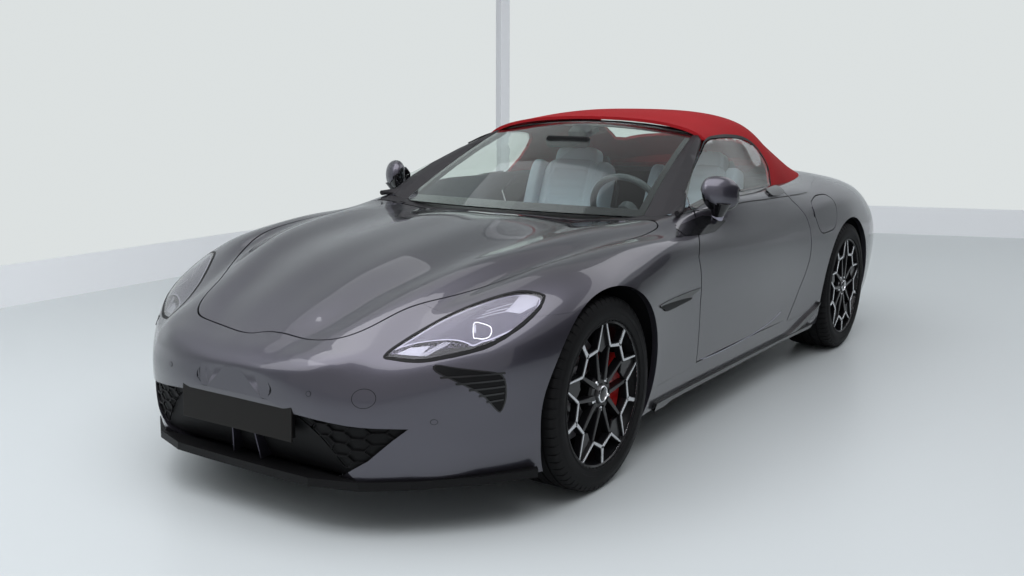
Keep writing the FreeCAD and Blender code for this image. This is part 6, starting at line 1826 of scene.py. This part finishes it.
@dataclass
class Studio:
    """The room: floor, two walls with skirting, soft lights and the camera."""

    camera_place: tuple[float, float, float] = (2.6655, -4.5790, 1.4014)
    camera_yaw: float = 33.94
    camera_pitch: float = -10.36
    camera_roll: float = 0.19
    camera_lens: float = 37.47
    corner: tuple[float, float] = (-4.152, 5.304)
    left_way: float = 271.6
    right_way: float = 18.2
    wall_height: float = 7.0
    skirting_height: float = 0.28

    def build(self) -> None:
        """Make the room, the lights and the camera."""
        self.build_room()
        self.build_lights()
        self.build_camera()
        bpy.context.scene.view_settings.view_transform = "Standard"

    def plain_material(self, name: str, colour: tuple[float, float, float], roughness: float,
                       specular: float) -> bpy.types.Material:
        """Return a plain material of the room.

        Args:
            name: Its name.
            colour: Its colour.
            roughness: Its roughness.
            specular: Its share of mirror reflection.

        Returns:
            The material.
        """
        material, tree, shader = nodes_of(name)
        shader.inputs["Base Color"].default_value = (*colour, 1.0)
        shader.inputs["Roughness"].default_value = roughness
        shader.inputs["Specular IOR Level"].default_value = specular
        self.open_from_behind(tree, shader)
        return material

    @staticmethod
    def open_from_behind(tree: bpy.types.NodeTree, shader: bpy.types.Node) -> None:
        """Let the camera look through a sheet of the room from its back.

        Args:
            tree: The material's nodes.
            shader: The node that the sheet shows from its front.
        """
        new, link = tree.nodes.new, tree.links.new
        path, face, both = new("ShaderNodeLightPath"), new("ShaderNodeNewGeometry"), new("ShaderNodeMath")
        both.operation = "MULTIPLY"
        clear, mix = new("ShaderNodeBsdfTransparent"), new("ShaderNodeMixShader")
        link(path.outputs["Is Camera Ray"], both.inputs[0])
        link(face.outputs["Backfacing"], both.inputs[1])
        link(both.outputs[0], mix.inputs[0])
        link(shader.outputs[0], mix.inputs[1])
        link(clear.outputs[0], mix.inputs[2])
        link(mix.outputs[0], tree.nodes["Material Output"].inputs["Surface"])

    def build_room(self) -> None:
        """Make the floor, the two walls and their skirting."""
        floor_look = self.plain_material("room_floor", (0.57, 0.61, 0.61), 0.36, 0.5)
        dark_look = self.plain_material("room_dark", (0.015, 0.015, 0.017), 0.7, 0.2)
        wall_look = self.wall_material()
        board_look = self.plain_material("room_skirting", (0.92, 0.94, 0.95), 0.5, 0.3)
        bpy.ops.mesh.primitive_plane_add(size=40.0, location=(0.0, 0.0, 0.0))
        floor = bpy.context.object
        floor.name = "floor"
        floor.data.materials.append(floor_look)
        for way in (self.left_way, self.right_way):
            turn = math.radians(way)
            along = Vector((math.cos(turn), math.sin(turn), 0.0))
            start = Vector((*self.corner, 0.0))
            for name, look, height, forward in (
                    ("wall", wall_look, self.wall_height, 0.0),
                    ("skirting", board_look, self.skirting_height, 0.03)):
                shift = Vector((forward, -forward, 0.0))
                far = start + along * 14.0
                up = Vector((0.0, 0.0, height))
                points = [start + shift, far + shift, far + shift + up, start + shift + up]
                self.sheet(name, look, points)
        for name, way in (("corner_left", self.left_way), ("corner_right", self.right_way)):
            along = Vector((math.cos(math.radians(way)), math.sin(math.radians(way)), 0.0)) * 0.10
            start = Vector((*self.corner, 0.0)) + Vector((0.03, -0.03, 0.0))
            up = Vector((0.0, 0.0, self.wall_height))
            corners = [start, start + along, start + along + up, start + up]
            self.sheet(name, board_look, corners)
        dark = [Vector(p) for p in ((5.6, -3.0, 0.0), (5.6, 10.0, 0.0), (5.6, 10.0, 3.4), (5.6, -3.0, 3.4))]
        self.sheet("dark_screen", dark_look, dark)

    @staticmethod
    def sheet(name: str, look: bpy.types.Material, corners: list[Vector]) -> bpy.types.Object:
        """Make a flat sheet of the room from its corners, with its face towards the car."""
        normal = (corners[1] - corners[0]).cross(corners[3] - corners[0])
        order = (0, 1, 2, 3) if normal.dot(corners[0]) < 0 else (3, 2, 1, 0)
        mesh = bpy.data.meshes.new(name)
        mesh.from_pydata(corners, [], [order])
        mesh.materials.append(look)
        piece = bpy.data.objects.new(name, mesh)
        bpy.context.scene.collection.objects.link(piece)
        return piece

    def wall_material(self) -> bpy.types.Material:
        """Return the walls' material, which the camera sees evenly lit."""
        material, tree, shader = nodes_of("room_wall")
        shader.inputs["Base Color"].default_value = (0.74, 0.77, 0.77, 1.0)
        shader.inputs["Roughness"].default_value = 0.9
        shader.inputs["Specular IOR Level"].default_value = 0.1
        new, link = tree.nodes.new, tree.links.new
        path, even, mix = new("ShaderNodeLightPath"), new("ShaderNodeEmission"), new("ShaderNodeMixShader")
        even.inputs["Color"].default_value = (0.715, 0.750, 0.750, 1.0)
        either = new("ShaderNodeMath")
        either.operation = "MAXIMUM"
        link(path.outputs["Is Camera Ray"], either.inputs[0])
        link(path.outputs["Is Transmission Ray"], either.inputs[1])
        link(either.outputs[0], mix.inputs[0])
        link(shader.outputs[0], mix.inputs[1])
        link(even.outputs[0], mix.inputs[2])
        self.open_from_behind(tree, mix)
        return material

    def build_lights(self) -> None:
        """Make the soft lights and the world."""
        lamps = (
            ("light_top", (0.4, -2.4, 4.4), (0.2, -1.4, 0.0), (6.5, 4.6), 215.0),
            ("light_front", (-3.0, -5.2, 4.0), (0.0, -2.0, 0.5), (4.5, 3.0), 80.0),
            ("light_left", (-4.4, -0.6, 4.2), (0.0, -0.6, 0.5), (7.0, 8.0), 100.0),
            ("light_back", (3.4, 4.4, 4.4), (3.4, 4.2, 0.0), (6.0, 5.0), 105.0),
        )
        for name, place, target, size, power in lamps:
            data = bpy.data.lights.new(name, "AREA")
            data.shape = "RECTANGLE"
            data.size, data.size_y = size
            data.energy = power
            data.color = (0.95, 0.95, 1.0)
            lamp = bpy.data.objects.new(name, data)
            lamp.location = place
            aim = Vector(target) - Vector(place)
            lamp.rotation_euler = aim.to_track_quat("-Z", "Y").to_euler()
            bpy.context.scene.collection.objects.link(lamp)
        world = bpy.data.worlds.new("room_world")
        bpy.context.scene.world = world
        world.use_nodes = True
        back = world.node_tree.nodes["Background"]
        back.inputs["Color"].default_value = (0.86, 0.87, 0.90, 1.0)
        back.inputs["Strength"].default_value = 0.52

    def build_camera(self) -> None:
        """Make the camera that matches the photograph."""
        data = bpy.data.cameras.new("camera")
        data.lens = self.camera_lens
        data.sensor_width = 36.0
        data.clip_start = 0.05
        data.clip_end = 80.0
        data.dof.use_dof = False
        camera = bpy.data.objects.new("camera", data)
        turn = (Matrix.Rotation(math.radians(self.camera_yaw), 4, "Z")
                @ Matrix.Rotation(math.radians(90.0 + self.camera_pitch), 4, "X")
                @ Matrix.Rotation(math.radians(self.camera_roll), 4, "Z"))
        camera.matrix_world = Matrix.Translation(self.camera_place) @ turn
        bpy.context.scene.collection.objects.link(camera)
        bpy.context.scene.camera = camera


@dataclass
class Car:
    """The car: its frame, its materials and the pieces made from them."""

    frame: dict
    palette: Palette = field(default_factory=Palette)

    def __post_init__(self) -> None:
        """Read which body carries each node."""
        self.nodes = self.frame["nodes"]
        groups = self.frame["record"]["behaviour"]["bodies"]
        self.bodies = {node: body for body, members in groups.items() for node in members}

    def build(self) -> None:
        """Make all the pieces."""
        self.build_panels()
        self.dress_solids()
        self.build_wheels()

    def build_panels(self) -> None:
        """Make the outer panels smooth."""
        hull = SmoothShape(SECTION_SHARES)
        maker = PanelMaker(hull, self.palette, self.nodes, self.bodies)
        draper = Draper(hull, self.palette)
        cutters = {"fender": self.lamp_openings(), "door": self.arm_room(draper)}
        cutters["front"] = cutters["fender"]
        self.build_screen_frame(draper)
        for name in PAINTED_PANELS:
            maker.panel(name, Finish.PAINT, "body_paint", cutters.get(name.split("_")[0]))
        for cutter in (cutters["fender"], cutters["door"]):
            bpy.data.objects.remove(cutter)
        maker.panel("rear_diffuser", Finish.GLOSS_BLACK, "black_gloss")
        roof = SmoothShape(ROOF_SHARES)
        maker = PanelMaker(roof, self.palette, self.nodes, self.bodies)
        top = maker.panel("soft_top", Finish.CLOTH, "roof_fabric")
        Headlamps(draper).build()
        Nose(draper).build()
        BodyTrim(draper, Draper(roof, self.palette)).build()
        Mirrors(self.palette).build()
        Glazing(self.palette).build()
        Cabin(self.palette).build()

    @staticmethod
    def arm_room(draper: Draper) -> bpy.types.Object:
        """Return the blocks over the skin that take away what stands out of the doors' front corners."""
        return Car.blocks(draper, [(740, -705), (900, -705), (900, -440), (740, -440)])

    @staticmethod
    def blocks(draper: Draper, outline: list[tuple[float, float]]) -> bpy.types.Object:
        """Return one block on each side that stands on the skin inside an outline of the plan."""
        block = draper.patch("arm_block", outline, Lay(View.PLAN, 0.060, 0.0598), 30.0)
        twin = copy_of(block, "arm_block_right", Matrix.Scale(-1.0, 4, (1.0, 0.0, 0.0)))
        return joined("arm_blocks", [block, twin])

    def build_screen_frame(self, draper: Draper) -> None:
        """Replace the windscreen's frame by a copy that ends at the skin by the doors' hinges."""
        cutter = self.blocks(draper, [(740, -725), (900, -725), (900, -585), (740, -585)])
        mesh = PanelMaker.cut(self.nodes["windscreen_frame"].data.copy(), cutter)
        bpy.data.objects.remove(cutter)
        piece = bpy.data.objects.new("windscreen_frame_skin", mesh)
        bpy.context.scene.collection.objects.link(piece)
        tidy_faces(piece)
        self.palette.single(piece, Finish.PILLAR, "black_gloss", "root", "windscreen_frame")

    @staticmethod
    def lamp_openings() -> bpy.types.Object:
        """Return the upright prisms that open the panels over both headlamps."""
        outline = smooth_loop(list(LAMP_OUTLINE), 4)
        prisms = []
        for side in (1.0, -1.0):
            points = [Vector((side * x, y, 560.0)) * MILLI for x, y in outline]
            prisms.append(plate("lamp_prism", points, Vector((0.0, 0.0, 0.25))))
        return joined("lamp_prisms", prisms)

    def build_wheels(self) -> None:
        """Make the wheels, tyres and brakes."""
        for side in SIDES:
            front = WheelKit(self.palette, 0.352, 0.245)
            front.build("front", side, Vector((0.787, -1.3675, 0.352)), 0.190, f"knuckle_{side}")
            rear = WheelKit(self.palette, 0.350, 0.275)
            rear.build("rear", side, Vector((0.806, 1.3225, 0.350)), 0.175, "root")

    def dress_solids(self) -> None:
        """Give the solids that show as they are their materials."""
        for name, (finish, slot) in SOLID_LOOKS.items():
            self.palette.dress(self.nodes[name], finish, slot)


PAINTED_PANELS = (
    "bonnet", "boot_lid", "front_bumper", "tonneau", "rear_bumper", "fender_left", "fender_right",
    "quarter_left", "quarter_right", "skirt_left", "skirt_right", "door_left", "door_right",
    "charge_flap",
)
SIDES = ("left", "right")
SOLID_LOOKS = {
    "chassis_tub": (Finish.UNDERBODY, "underbody"),
    "axles": (Finish.CAST, "cast_metal"),
    "rear_hubs": (Finish.CAST, "cast_metal"),
    "knuckle_left": (Finish.CAST, "cast_metal"),
    "knuckle_right": (Finish.CAST, "cast_metal"),
    "front_grille": (Finish.TRIM, "black_trim"),
    "front_splitter": (Finish.TRIM, "black_trim"),
    "tail_lamps": (Finish.RED_LENS, "lamp_glass"),
    "windscreen": (Finish.GLASS, "window_glass"),
    "rear_window": (Finish.GLASS, "window_glass"),
    "door_glass_left": (Finish.SIDE_GLASS, "window_glass"),
    "door_glass_right": (Finish.SIDE_GLASS, "window_glass"),
    "dashboard": (Finish.SOFT_PLASTIC, "cabin_plastic"),
    "steering_wheel": (Finish.SOFT_PLASTIC, "cabin_plastic"),
    "tyre_front_left": (Finish.RUBBER, "tyre"),
    "tyre_front_right": (Finish.RUBBER, "tyre"),
    "tyre_rear_left": (Finish.RUBBER, "tyre"),
    "tyre_rear_right": (Finish.RUBBER, "tyre"),
    "wheel_front_left": (Finish.WHEEL_SILVER, "wheel_metal"),
    "wheel_front_right": (Finish.WHEEL_SILVER, "wheel_metal"),
    "wheel_rear_left": (Finish.WHEEL_SILVER, "wheel_metal"),
    "wheel_rear_right": (Finish.WHEEL_SILVER, "wheel_metal"),
}


def main() -> None:
    """Build the scene."""
    logging.basicConfig(level=logging.INFO)
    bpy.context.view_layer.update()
    Studio().build()
    car = Car(frame)
    car.build()


if __name__ == "__main__":
    main()
